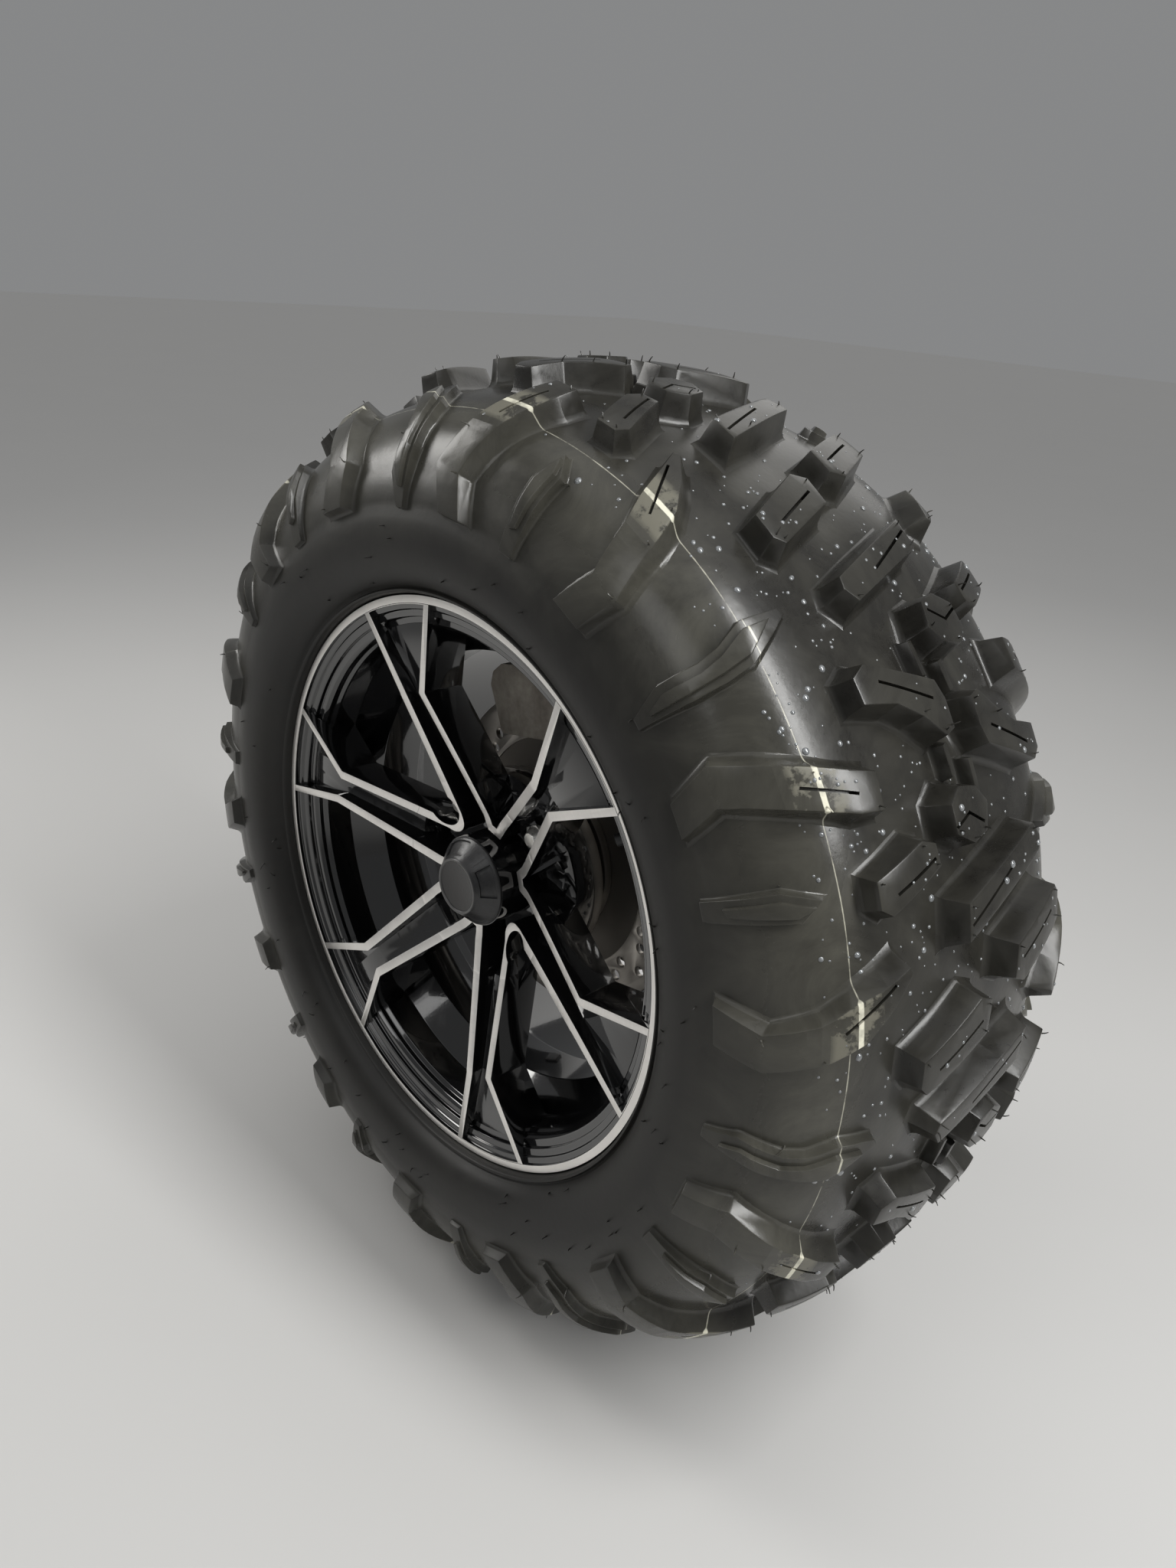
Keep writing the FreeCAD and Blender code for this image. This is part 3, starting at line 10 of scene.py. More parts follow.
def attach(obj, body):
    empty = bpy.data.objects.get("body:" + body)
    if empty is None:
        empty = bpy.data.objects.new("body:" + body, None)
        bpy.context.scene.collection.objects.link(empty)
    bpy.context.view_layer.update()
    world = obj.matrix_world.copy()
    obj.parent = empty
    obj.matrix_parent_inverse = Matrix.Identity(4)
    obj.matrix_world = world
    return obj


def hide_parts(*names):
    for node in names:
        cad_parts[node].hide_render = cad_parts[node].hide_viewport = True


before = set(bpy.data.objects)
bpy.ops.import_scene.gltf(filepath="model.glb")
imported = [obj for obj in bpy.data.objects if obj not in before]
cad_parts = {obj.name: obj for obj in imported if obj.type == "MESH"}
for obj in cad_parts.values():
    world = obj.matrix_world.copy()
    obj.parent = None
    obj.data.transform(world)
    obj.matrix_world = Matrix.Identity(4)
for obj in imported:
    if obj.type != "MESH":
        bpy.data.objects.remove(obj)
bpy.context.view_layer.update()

bl_info = {
    "name": "Quad bike wheel end",
    "version": (1, 0, 0),
    "blender": (4, 5, 0),
    "location": "View3D > Sidebar > Wheel end",
    "description": "Builds the looks of a quad bike's left rear wheel, hub, brake and knuckle",
    "category": "Object",
}

# Places on the wheel are given in millimetres about its centre: radius, angle, and y along the
# axle, negative outboard. Angle 0 is up and angles grow towards the rear.
WHEEL_CENTRE = Vector((0.0, -0.048, 0.088))
MM = 0.001
OUTBOARD = Vector((0, -1, 0))

# Tyre section over the lugs
TYRE_RADIUS = 336.5
TYRE_HALF_WIDTH = 141.7
TYRE_WIDEST_RADIUS = 223.5
TYRE_SECTION_POWER = 2.85
LUG_END = 140.75               # the tread's pattern runs down the sidewall to this y
CREASE = 118.6                 # the side lugs' tops are creased at this distance from the middle
CREASE_RISE = 1.1
CREASE_REACH = 15.0
UNITS = 7                      # the tread repeats this many times round the tyre
UNIT_ANGLE = 360.0 / UNITS
FLAT_LUG = 16.0                # height of a lug while it is still drawn flat

# Depth of the groove floor under the lug tops, against the distance from the middle plane
GROOVE_DEPTHS = (
    (0, 17.5), (35, 17.0), (69, 16.0), (90, 14.0), (106, 12.0), (122, 10.5), (136, 9.2), (141, 7.4),
)

# Lug tops as (y, angle) corners; each centre lug has a twin turned half round about the
# point y = 0, angle = TWIN_ANGLE / 2
TWIN_ANGLE = 110.2
CENTRE_LUGS = {
    "hook": ((-69, 49.5), (-60, 48.6), (-14, 51.7), (-11, 53.5), (-12, 56.2), (-20, 56.6), (-33, 54.4),
             (-48, 52.7), (-69, 51.9)),
    "stub": ((-33, 62.3), (-24, 61.0), (-10, 61.5), (-2, 63.1), (-7, 65.6), (-20, 66.2), (-33, 64.9)),
    "block": ((-90, 66.3), (-60, 64.2), (-51, 64.8), (-50, 66.8), (-84, 69.6), (-90, 68.8)),
    "long": ((-32, 71.1), (40, 67.0), (46, 68.4), (44, 69.6), (-8, 72.9), (-34, 74.5)),
    "wing": ((-67, 84.0), (-22, 80.3), (-12, 81.1), (-14, 84.3), (-62, 87.6), (-67, 86.7)),
}
# Slits in the lug tops as (y, angle) runs
CENTRE_SLITS = {
    "hook": ((-55, 50.4), (-21, 53.2)),
    "stub": ((-32, 64.3), (-20, 63.5), (-9, 64.7)),
    "block": ((-80, 67.9), (-53, 66.0)),
    "long": ((-31, 73.1), (14, 69.6)),
    "wing": ((-55, 85.4), (-20, 82.7)),
}
SHOULDER_LUGS = {
    "bar": ((-140.4, 54.2), (-134.2, 51.9), (-121, 53.8), (-104, 55.4), (-90, 56.5), (-76, 57.4),
            (-77.5, 60.7), (-90, 60.4), (-104.6, 59.3), (-118, 58.2), (-129, 57.0), (-135, 56.2),
            (-140.4, 58.3)),
    "fin": ((-140.4, 77.5), (-134.1, 79.8), (-118.6, 78.4), (-106, 76.9), (-90, 75.6), (-77.5, 74.4),
            (-76.0, 75.1), (-86.2, 77.6), (-100.4, 80.5), (-117, 82.3), (-134.1, 84.0), (-140.4, 82.5)),
}
# Feet of the same lugs on the groove floor, corner by corner
SHOULDER_FEET = {
    "bar": ((-140.7, 53.4), (-134.6, 51.0), (-120, 52.9), (-104, 54.5), (-90, 55.7), (-73, 56.6),
            (-74.5, 61.5), (-90, 61.3), (-105.4, 60.1), (-119, 58.9), (-130.5, 57.8), (-135.6, 57.0),
            (-140.7, 59.0)),
    "fin": ((-140.7, 76.9), (-133.4, 79.1), (-118, 77.4), (-105, 75.6), (-90, 74.3), (-79, 73.2),
            (-68.5, 75.3), (-84, 78.6), (-99.4, 81.3), (-116.4, 83.1), (-134.5, 84.7), (-140.7, 83.2)),
}
SHOULDER_SLITS = {
    "bar": ((-112, 56.7), (-88, 58.7)),
    "fin": ((-110, 79.3), (-86, 75.6)),
}
SIDE_RIBS = {
    "upper_rib": ((-141, 43.6), (-137, 42.2), (-126, 42.6), (-118, 42.2), (-105, 40.8), (-84, 41.0),
                  (-81, 41.7), (-90, 42.8), (-108, 45.0), (-120, 45.5), (-131, 45.6), (-141, 45.0)),
    "lower_rib": ((-141, 65.7), (-127, 65.6), (-113, 66.9), (-122, 68.7), (-141, 68.0)),
}
# A raised panel on each rib
RIB_PANELS = {
    "upper_panel": ((-139, 44.2), (-136, 43.4), (-126, 43.7), (-118, 43.2), (-106, 41.8), (-92, 41.8),
                    (-108, 44.2), (-120, 44.7), (-131, 44.9), (-139, 44.6)),
    "lower_panel": ((-138.5, 66.5), (-127, 66.4), (-116, 67.4), (-122.5, 68.1), (-138, 67.4)),
}
# Low bars that tie the centre lugs together
GROOVE_BARS = {
    "short_bar": ((-8.0, 47.4), (-4.4, 47.4), (-4.8, 50.9), (-8.4, 50.9)),
    "end_bar": ((-13.8, 57.4), (-10.0, 57.2), (-9.6, 60.2), (-13.4, 60.4)),
}

# Sidewall from the side lugs' end to the rim, as (radius, y)
SIDEWALL = (
    (246.0, -135.2), (238.0, -136.4), (229.0, -136.8), (220.0, -136.0), (212.5, -133.4), (207.5, -129.9),
    (204.6, -126.6), (203.2, -124.2), (202.4, -122.6), (201.3, -122.2), (200.9, -123.4), (200.2, -124.2),
    (199.2, -124.0), (198.4, -122.8), (198.1, -121.0), (197.4, -119.4), (197.1, -114.0),
)
TYRE_INSIDE = (
    (183.4, -86.0), (199.0, -104.5), (229.0, -123.0), (267.0, -120.0), (290.0, -95.0), (303.0, -50.0),
    (305.0, 0.0),
)
TYRE_BEAD = ((194.3, -108.4), (179.9, -108.0), (177.5, -105.5), (177.5, -90.0))

# Rim
RIM_FACE_LINE = ((31.5, -82.8), (46.0, -85.8), (133.0, -116.8), (191.0, -118.8), (196.5, -118.8))
BARREL_OUTSIDE = (
    (196.5, -118.8), (196.5, -110.6), (193.9, -108.1), (179.9, -108.0), (177.4, -105.5), (177.4, -89.6),
    (179.0, -88.0), (179.0, -84.0), (176.0, -82.0), (158.0, -66.0), (158.0, -30.0), (176.0, -14.0),
    (176.0, 82.5), (179.0, 84.0), (179.0, 88.0), (177.4, 89.5), (177.4, 105.4), (179.9, 108.0),
    (194.0, 108.0), (196.5, 110.5), (196.5, 114.5),
)
BARREL_INSIDE = (
    (191.0, 114.5), (180.4, 113.0), (172.4, 106.5), (172.4, -12.0), (153.0, -31.5), (153.0, -64.5),
    (172.4, -82.0), (172.4, -101.6), (174.9, -104.2), (175.0, -107.4), (177.0, -109.8), (181.6, -110.2),
    (182.0, -113.2), (186.4, -113.9), (187.2, -115.6), (191.0, -116.2), (191.0, -118.8),
)

TURNED_REACH = 0.45            # a face this near to the face line is a turned one

BRAKE_BAND = 84.5              # radius at which the disc's swept band starts

# Radii where the sidewall passes into the tread, and distances from the middle where the
# shoulder passes into the crown
TREAD_START = (232.0, 285.0)
CROWN_START = (104.0, 84.0)

# Meshes read from the solids: points this near are one, faces this even are one, and edges
# this sharp are rounded
WELD = 0.00002
EVEN_ANGLE = math.radians(0.12)
EDGE_ANGLE = math.radians(28.0)

# Longest triangle on the lugs, across the section and round the tyre
CUT_ACROSS = 7.0
CUT_ROUND = 24.0

# Drops lie between these y, gather at this angle with this spread, and end at this angle
DROPS_ACROSS = (-118.0, 110.0)
DROPS_ROUND = (62.0, 34.0)
DROPS_END = 125.0
LARGEST_DROP = 2.1
# Lengths of the vent hairs, and where and how many stand on the sidewalls
LUG_HAIRS = (2.2, 4.4)
RIB_HAIRS = (3.5, 7.5)
SIDEWALL_HAIRS = (2.5, 4.6)
SIDEWALL_HAIR_COUNT = 150
HAIR_RADII = (207.0, 214.0, 222.0, 231.0, 240.0)
HAIR_SIDES = 5
HAIR_STEPS = 4

# Stage, in metres
FLOOR_HALF = 14.0
FLOOR_GAP = 0.0002
WHITE = (1.0, 1.0, 0.99)
WARM = (1.0, 0.985, 0.955)
# Name, place, width and height, tint
LAMPS = (
    ("key", (1.25, -0.02, 1.30), (0.28, 1.5), WHITE),
    ("front", (-1.50, -0.80, 1.05), (0.5, 1.0), WARM),
    ("fill", (0.1, -2.1, 1.5), (1.0, 1.0), WHITE),
    ("back", (-0.6, 1.7, 1.3), (1.0, 1.0), WARM),
)
CAMERA_PLACE = (0.5506, -0.5882, 0.4749)
CAMERA_RIGHT = (0.6803, 0.7292, 0.0736)
CAMERA_UP = (-0.3400, 0.2251, 0.9131)
CAMERA_BACK = (0.6493, -0.6462, 0.4011)


def place(radius, angle, y):
    """Point in the row frame from a radius, an angle and y, in millimetres and degrees."""
    turn = math.radians(angle)
    return WHEEL_CENTRE + Vector((radius * math.sin(turn), y, radius * math.cos(turn))) * MM


def between(table, x):
    """Value at x on the line through a table's (x, value) points."""
    if x <= table[0][0]:
        return table[0][1]
    for (x0, v0), (x1, v1) in zip(table, table[1:]):
        if x <= x1:
            return v0 + (v1 - v0) * (x - x0) / (x1 - x0)
    return table[-1][1]


# Shader maths
class Value:
    """A socket of a material. Sums, products and the like of values add Math nodes."""

    def __init__(self, shading, socket):
        self.shading = shading
        self.socket = socket

    def math(self, operation, *others, clamp=False):
        settings = {"operation": operation, "use_clamp": clamp}
        return self.shading.node("ShaderNodeMath", settings, dict(enumerate((self, *others))))

    def __add__(self, other):
        return self.math("ADD", other)

    def __sub__(self, other):
        return self.math("SUBTRACT", other)

    def __mul__(self, other):
        return self.math("MULTIPLY", other)

    def __truediv__(self, other):
        return self.math("DIVIDE", other)

    def __abs__(self):
        return self.math("ABSOLUTE")

    __radd__ = __add__
    __rmul__ = __mul__

    def reflected(self, operation, other):
        return self.shading.node("ShaderNodeMath", {"operation": operation}, {0: other, 1: self})

    def __rsub__(self, other):
        return self.reflected("SUBTRACT", other)

    def __rtruediv__(self, other):
        return self.reflected("DIVIDE", other)

    def clamped(self):
        return self.math("ADD", 0.0, clamp=True)

    def root(self):
        return self.math("SQRT")

    def ramp(self, low, high):
        """0 below low, 1 above high and even between them."""
        return ((self - low) / (high - low)).clamped()


class Shading:
    """A node material built from one Principled shader."""

    def __init__(self, name, **constants):
        self.material = bpy.data.materials.new(name)
        self.material.use_nodes = True
        self.nodes = self.material.node_tree.nodes
        self.links = self.material.node_tree.links
        self.shader = self.nodes["Principled BSDF"]
        self.coordinates = None
        for socket, value in constants.items():
            self.set(socket, value)

    def feed(self, target, value):
        """Give a socket a link, a colour or a constant."""
        if isinstance(value, Value):
            self.links.new(value.socket, target)
        elif isinstance(value, tuple):
            target.default_value = (*value, 1.0)
        else:
            target.default_value = value

    def set(self, socket, value):
        """Feed a socket of the shader."""
        self.feed(self.shader.inputs[socket.replace("_", " ")], value)

    def node(self, kind, settings=None, inputs=None, output=0):
        """Add a node: its type, its settings, then the values or links of its sockets."""
        made = self.nodes.new(kind)
        for name, value in (settings or {}).items():
            setattr(made, name, value)
        for name, value in (inputs or {}).items():
            self.feed(made.inputs[name], value)
        return Value(self, made.outputs[output])

    def where(self):
        """Place on the piece, in the row frame."""
        if self.coordinates is None:
            self.coordinates = self.node("ShaderNodeTexCoord", output=3)
        return self.coordinates

    def axes(self):
        """The place's x, y and z."""
        apart = self.node("ShaderNodeSeparateXYZ", None, {0: self.where()})
        outputs = apart.socket.node.outputs
        return [Value(self, outputs[index]) for index in range(3)]

    def about_axle(self):
        """Radius and y on the wheel, in millimetres."""
        x, y, z = self.axes()
        height = z - WHEEL_CENTRE.z
        radius = (x * x + height * height).root()
        return radius / MM, (y - WHEEL_CENTRE.y) / MM

    def noise(self, scale, detail=4.0, roughness=0.55, vector=None, distortion=0.0):
        inputs = {"Vector": vector or self.where(), "Scale": scale, "Detail": detail,
                  "Roughness": roughness, "Distortion": distortion}
        return self.node("ShaderNodeTexNoise", None, inputs)

    def rings(self, radius, y, pitch, roughness):
        """Fine rings about the axle."""
        along = self.node("ShaderNodeCombineXYZ", None, {0: radius * pitch, 1: y * 0.05})
        return self.noise(2.0, 5.0, roughness, along)

    def mix(self, factor, low, high):
        """Colour between two colours."""
        inputs = {"Factor": factor, 6: low, 7: high}
        return self.node("ShaderNodeMix", {"data_type": "RGBA"}, inputs, output=2)

    def bump(self, height, distance, strength=1.0, below=None):
        inputs = {"Height": height, "Distance": distance, "Strength": strength}
        if below is not None:
            inputs["Normal"] = below
        return self.node("ShaderNodeBump", None, inputs)


def rubber(settings):
    """Moulded rubber with faint smears and the thin paint line of a new tyre."""
    s = Shading("tyre_rubber", Specular_IOR_Level=0.34)
    radius, y = s.about_axle()
    cloud = s.noise(6.0, 5.0, 0.62)
    smear = s.noise(21.0, 6.0, 0.68, distortion=0.9)
    speck = s.noise(260.0, 2.0)
    bloom = (cloud * 0.6 + smear * 0.7 - 0.55).ramp(0.0, 0.28)
    tread = radius.ramp(*TREAD_START)
    crown = abs(y).ramp(*CROWN_START)
    dust = tread * (0.30 - crown * 0.24) + bloom * (0.10 + tread * (0.36 - crown * 0.22))
    grey = s.mix(dust, tuple(settings.rubber), tuple(settings.rubber_bloom))

    # Depth under the lug tops near the line, and distance from it along the section
    row = on_section(between(ARC_OF_Y, settings.line_place / MM))
    depth = (radius - row[2]) * -row[4] - (y - row[1]) * row[3]
    along = (y - row[1]) * row[4] - (radius - row[2]) * row[3]
    over_lug = 1.0 - depth.ramp(1.0, 3.0)
    wander = (s.noise(7.0, 2.0) - 0.5) * 3.0
    wider = settings.lug_line_width - settings.line_width
    half = over_lug * wider / 2 / MM + settings.line_width / 2 / MM
    edge = s.noise(160.0, 3.0) * 0.5
    inside = (half + edge - abs(along + wander)).ramp(0.1, 0.5)
    worn = s.noise(55.0, 4.0, 0.65).ramp(0.36, 0.50)
    line = inside * (worn * 0.50 + over_lug * 0.44) * radius.ramp(262.0, 266.0)

    # Scuffed tops of the side lugs between the crease and the crown
    scuff = s.noise(48.0, 5.0, 0.7).ramp(0.44, 0.50) * (1.0 - depth.ramp(0.4, 1.0))
    scuff = scuff * (abs(along + 1.5)).ramp(14.5, 13.5)
    grey = s.mix(scuff * 0.75, grey, tuple(settings.scuff))
    s.set("Base_Color", s.mix(line, grey, tuple(settings.line_colour)))
    dry = 0.34 - tread * 0.24 + crown * 0.05
    s.set("Roughness", dry + smear * 0.18 + cloud * 0.06 + speck * 0.04 + scuff * 0.16)
    fine = s.bump(speck, 0.00018, 0.30)
    s.set("Normal", s.bump(s.noise(34.0, 4.0), 0.0008, 0.20, fine))
    return s.material


def gloss_paint(settings):
    """Black lacquer over cast metal."""
    s = Shading("rim_gloss_black", Coat_Weight=1.0, Coat_Roughness=0.03)
    dust = s.noise(34.0, 6.0, 0.7).ramp(0.55, 0.85)
    s.set("Base_Color", s.mix(dust * 0.35, tuple(settings.paint), tuple(settings.paint_dust)))
    s.set("Roughness", 0.10 + dust * 0.18)
    s.set("Normal", s.bump(s.noise(420.0, 2.0), 0.00012, 0.25))
    return s.material


def turned_metal(name, colour, roughness):
    """Metal turned on a lathe about the axle, with fine rings."""
    s = Shading(name, Metallic=1.0)
    rings = s.rings(*s.about_axle(), 2.4, 0.7)
    cloud = s.noise(30.0, 4.0)
    darker = tuple(channel * 0.72 for channel in colour)
    s.set("Base_Color", s.mix((rings * 0.6 + cloud * 0.5).ramp(0.30, 0.75), darker, colour))
    s.set("Roughness", roughness - 0.06 + rings * 0.14 + cloud * 0.05)
    s.set("Normal", s.bump(rings, 0.00012, 0.35))
    return s.material


def disc_steel():
    """Ground brake disc: a bright swept band outside a darker carrier."""
    s = Shading("disc_ground_steel", Metallic=1.0)
    radius, y = s.about_axle()
    rings = s.rings(radius, y, 1.6, 0.75)
    cloud = s.noise(40.0, 5.0)
    band = radius.ramp(BRAKE_BAND - 0.2, BRAKE_BAND + 0.2)
    steel = s.mix((rings * 0.5 + cloud * 0.6).ramp(0.3, 0.8), (0.34, 0.31, 0.28), (0.62, 0.59, 0.54))
    s.set("Base_Color", s.mix(band, (0.20, 0.185, 0.165), steel))
    s.set("Roughness", 0.30 + cloud * 0.16 + (1.0 - band) * 0.16)
    s.set("Normal", s.bump(rings, 0.00012, 0.4))
    return s.material


def rough_metal(name, colour, dirt, metallic=0.7, roughness=0.5, grain=180.0, depth=0.0005):
    """Cast or plated metal with a little dirt in patches."""
    s = Shading(name)
    cloud = s.noise(22.0, 6.0, 0.65)
    pores = s.noise(grain, 3.0)
    grime = (cloud * 0.8 + pores * 0.3).ramp(0.42, 0.72)
    s.set("Base_Color", s.mix(grime, colour, dirt))
    s.set("Metallic", metallic - grime * metallic * 0.5)
    s.set("Roughness", roughness + grime * 0.18)
    s.set("Normal", s.bump(pores, depth, 0.35))
    return s.material


def moulded(name, colour, roughness):
    """Grained plastic or plain rubber."""
    s = Shading(name)
    cloud = s.noise(45.0, 4.0)
    skin = s.noise(600.0, 2.0)
    lighter = tuple(channel * 1.25 + 0.004 for channel in colour)
    s.set("Base_Color", s.mix(cloud.ramp(0.35, 0.7), colour, lighter))
    s.set("Roughness", roughness + cloud * 0.10)
    s.set("Normal", s.bump(skin, 0.0002, 0.3))
    return s.material


def cap_plastic():
    """Grained charcoal plastic with a smoother dark disc let into its front, and a painted highlight on the
    rounded rim round the disc.
    """
    s = Shading("cap_charcoal")
    radius, y = s.about_axle()
    cloud = s.noise(45.0, 4.0)
    skin = s.noise(520.0, 3.0, 0.6)
    disc = radius.ramp(17.5, 16.9)
    # The lighter ring just outside the disc is a painted highlight, where the rounded rim round the disc
    # catches the light.
    edge = radius.ramp(19.6, 19.0) - radius.ramp(17.9, 17.3)
    worn = (cloud * 0.6 + skin * 0.5).ramp(0.35, 0.75)
    cone = s.mix(worn, (0.012, 0.012, 0.0125), (0.030, 0.030, 0.031))
    cone = s.mix(edge * 0.8, cone, (0.10, 0.098, 0.095))
    s.set("Base_Color", s.mix(disc, cone, (0.0075, 0.0065, 0.0062)))
    s.set("Roughness", 0.27 + skin * 0.12 - disc * 0.12)
    s.set("Normal", s.bump(skin, 0.00022, 0.45))
    return s.material


def water():
    """Drops on black rubber, which are mostly seen by their glints; their grey colour is painted sheen."""
    s = Shading("water_drops", Metallic=0.10, Coat_Weight=1.0, Coat_Roughness=0.02)
    thin = s.noise(300.0, 1.0)
    s.set("Roughness", 0.03 + thin * 0.04)
    # The two greys are painted sheen: clear water has no colour, and the grey stands in for the light the
    # drops reflect.
    s.set("Base_Color", s.mix(thin, (0.10, 0.105, 0.11), (0.22, 0.23, 0.235)))
    return s.material


def plain_floor(colour):
    """Even matt floor."""
    s = Shading("floor_plain")
    cloud = s.noise(3.0, 3.0)
    darker = tuple(channel * 0.97 for channel in colour)
    s.set("Base_Color", s.mix(cloud, darker, colour))
    s.set("Roughness", 0.7 + cloud * 0.05)
    return s.material


# Mesh work
def linked(name, data):
    """New object in the scene."""
    made = bpy.data.objects.new(name, data)
    bpy.context.scene.collection.objects.link(made)
    return made


def add_piece(name, mesh, body, slot, material, *replaced, sharp=32.0):
    """Link a mesh as a piece that rides on a body, with one material."""
    piece = linked(name, mesh)
    mesh.materials.append(material)
    mesh.shade_smooth()
    mesh.set_sharp_from_angle(angle=math.radians(sharp))
    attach(piece, body)
    if replaced:
        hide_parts(*replaced)
    return piece


def mesh_from(name, points, faces):
    mesh = bpy.data.meshes.new(name)
    mesh.from_pydata([tuple(point) for point in points], [], faces)
    mesh.update()
    return mesh


def rounded_line(corners, reach):
    """A closed (radius, y) outline with its corners rounded off."""
    line = []
    steps = 3
    count = len(corners)
    for index, corner in enumerate(corners):
        here = Vector(corner)
        before = Vector(corners[index - 1]) - here
        after = Vector(corners[(index + 1) % count]) - here
        cut = min(reach, before.length * 0.42, after.length * 0.42)
        start = here + before.normalized() * cut
        end = here + after.normalized() * cut
        for step in range(steps + 1):
            share = step / steps
            line.append(start * (1 - share) ** 2 + here * 2 * share * (1 - share) + end * share ** 2)
    return line


def lathe(name, outline, segments):
    """Closed outline of (radius, y) turned about the axle."""
    points = []
    faces = []
    count = len(outline)
    for step in range(segments):
        angle = 360.0 * step / segments
        points += [place(radius, angle, y) for radius, y in outline]
    for step in range(segments):
        here = step * count
        there = (step + 1) % segments * count
        for index in range(count):
            after = (index + 1) % count
            faces.append((here + index, here + after, there + after, there + index))
    mesh = mesh_from(name, points, faces)
    return closed(opened(mesh), mesh)


def opened(mesh):
    work = bmesh.new()
    work.from_mesh(mesh)
    return work


def closed(work, mesh):
    """Write the work back to its mesh, with the faces looking outwards."""
    bmesh.ops.recalc_face_normals(work, faces=work.faces)
    work.to_mesh(mesh)
    work.free()
    return mesh


def bevel(work, edges, reach, profile):
    bmesh.ops.bevel(
        work, geom=edges, offset=reach, segments=2, profile=profile, affect="EDGES", clamp_overlap=True
    )


def join_rings(work, lower, upper):
    """Faces between two rings with as many points."""
    count = len(lower)
    for index in range(count):
        after = (index + 1) % count
        work.faces.new((lower[index], lower[after], upper[after], upper[index]))


def softened(node, edge):
    """New mesh from a CAD node's, welded and with its edges rounded."""
    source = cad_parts[node].data
    faces = [tuple(p.vertices) for p in source.polygons]
    mesh = mesh_from(node, [v.co for v in source.vertices], faces)
    work = opened(mesh)
    bmesh.ops.remove_doubles(work, verts=work.verts, dist=WELD)
    bmesh.ops.dissolve_limit(work, angle_limit=EVEN_ANGLE, verts=work.verts, edges=work.edges)
    bevel(work, [e for e in work.edges if e.is_manifold and e.calc_face_angle(0.0) > EDGE_ANGLE], edge, 0.5)
    return closed(work, mesh)


# Tread: drawn flat, with x across the section, y round the tyre and z over the lug tops, and
# then wrapped on the tyre
def section_table():
    """Rows of arc length, y, radius and outward direction along the section's outline."""
    rows = []
    steps = 700
    crowding = 0.72            # rows stand closer where the section bends most
    length = 0.0
    last = None
    for step in range(steps + 1):
        turn = (step / steps * 2 - 1) * math.pi / 2
        y = TYRE_HALF_WIDTH * math.copysign(abs(math.sin(turn)) ** crowding, turn)
        share = min(1.0, abs(y) / TYRE_HALF_WIDTH)
        height = (1 - share ** TYRE_SECTION_POWER) ** (1 / TYRE_SECTION_POWER)
        radius = TYRE_WIDEST_RADIUS + (TYRE_RADIUS - TYRE_WIDEST_RADIUS) * height
        if last:
            length += math.hypot(y - last[0], radius - last[1])
        rows.append([length, y, radius])
        last = (y, radius)
    middle = rows[steps // 2][0]
    table = []
    for index, (distance, y, radius) in enumerate(rows):
        before = rows[max(0, index - 1)]
        after = rows[min(steps, index + 1)]
        run = math.hypot(after[1] - before[1], after[2] - before[2])
        normal_y = -(after[2] - before[2]) / run
        normal_r = (after[1] - before[1]) / run
        table.append((distance - middle, y, radius, normal_y, normal_r))
    return table


SECTION = section_table()
ARC_OF_Y = [(row[1], row[0]) for row in SECTION]
DEGREE = math.radians(1.0) * TYRE_RADIUS


def on_section(arc):
    """Row of the section table at an arc length."""
    low = 0
    high = len(SECTION) - 1
    while high - low > 1:
        middle = (low + high) // 2
        if SECTION[middle][0] <= arc:
            low = middle
        else:
            high = middle
    first = SECTION[low]
    second = SECTION[high]
    share = min(1.0, max(0.0, (arc - first[0]) / (second[0] - first[0])))
    return [a + (b - a) * share for a, b in zip(first, second)]


def groove_depth(y):
    """Depth of the groove floor under the lug tops."""
    return between(GROOVE_DEPTHS, abs(y))


def wrapped(flat):
    """Place in the row frame of a point of the flat tread."""
    arc, round_tyre, height = flat
    row = on_section(arc)
    depth = groove_depth(row[1])
    if height > -FLAT_LUG:
        rise = height * depth / FLAT_LUG
    else:
        rise = height + FLAT_LUG - depth
    return place(row[2] + row[4] * rise, round_tyre / DEGREE, row[1] + row[3] * rise)


def flat_point(y, angle, twin):
    """Place on the flat tread of a point of the pattern, or of its twin."""
    if twin:
        y, angle = -y, TWIN_ANGLE - angle
    return Vector((between(ARC_OF_Y, y), angle * DEGREE))


def flat_corners(corners, twin):
    """Corners of a lug on the flat tread, for the lug itself or for its twin."""
    points = []
    for y, angle in corners:
        points.append(flat_point(math.copysign(min(abs(y), LUG_END), y), angle, twin))
    area = sum(a.x * b.y - b.x * a.y for a, b in zip(points, points[1:] + points[:1]))
    return points if area > 0 else points[::-1]


def spread(points, distance):
    """Corners moved outwards, so that each side moves by a distance."""
    moved = []
    count = len(points)
    for index, point in enumerate(points):
        before = (point - points[index - 1]).normalized()
        after = (points[(index + 1) % count] - point).normalized()
        out = Vector((before.y, -before.x)) + Vector((after.y, -after.x))
        scale = out.length_squared / 2
        moved.append(point + out * (distance / max(scale, 0.35)))
    return moved


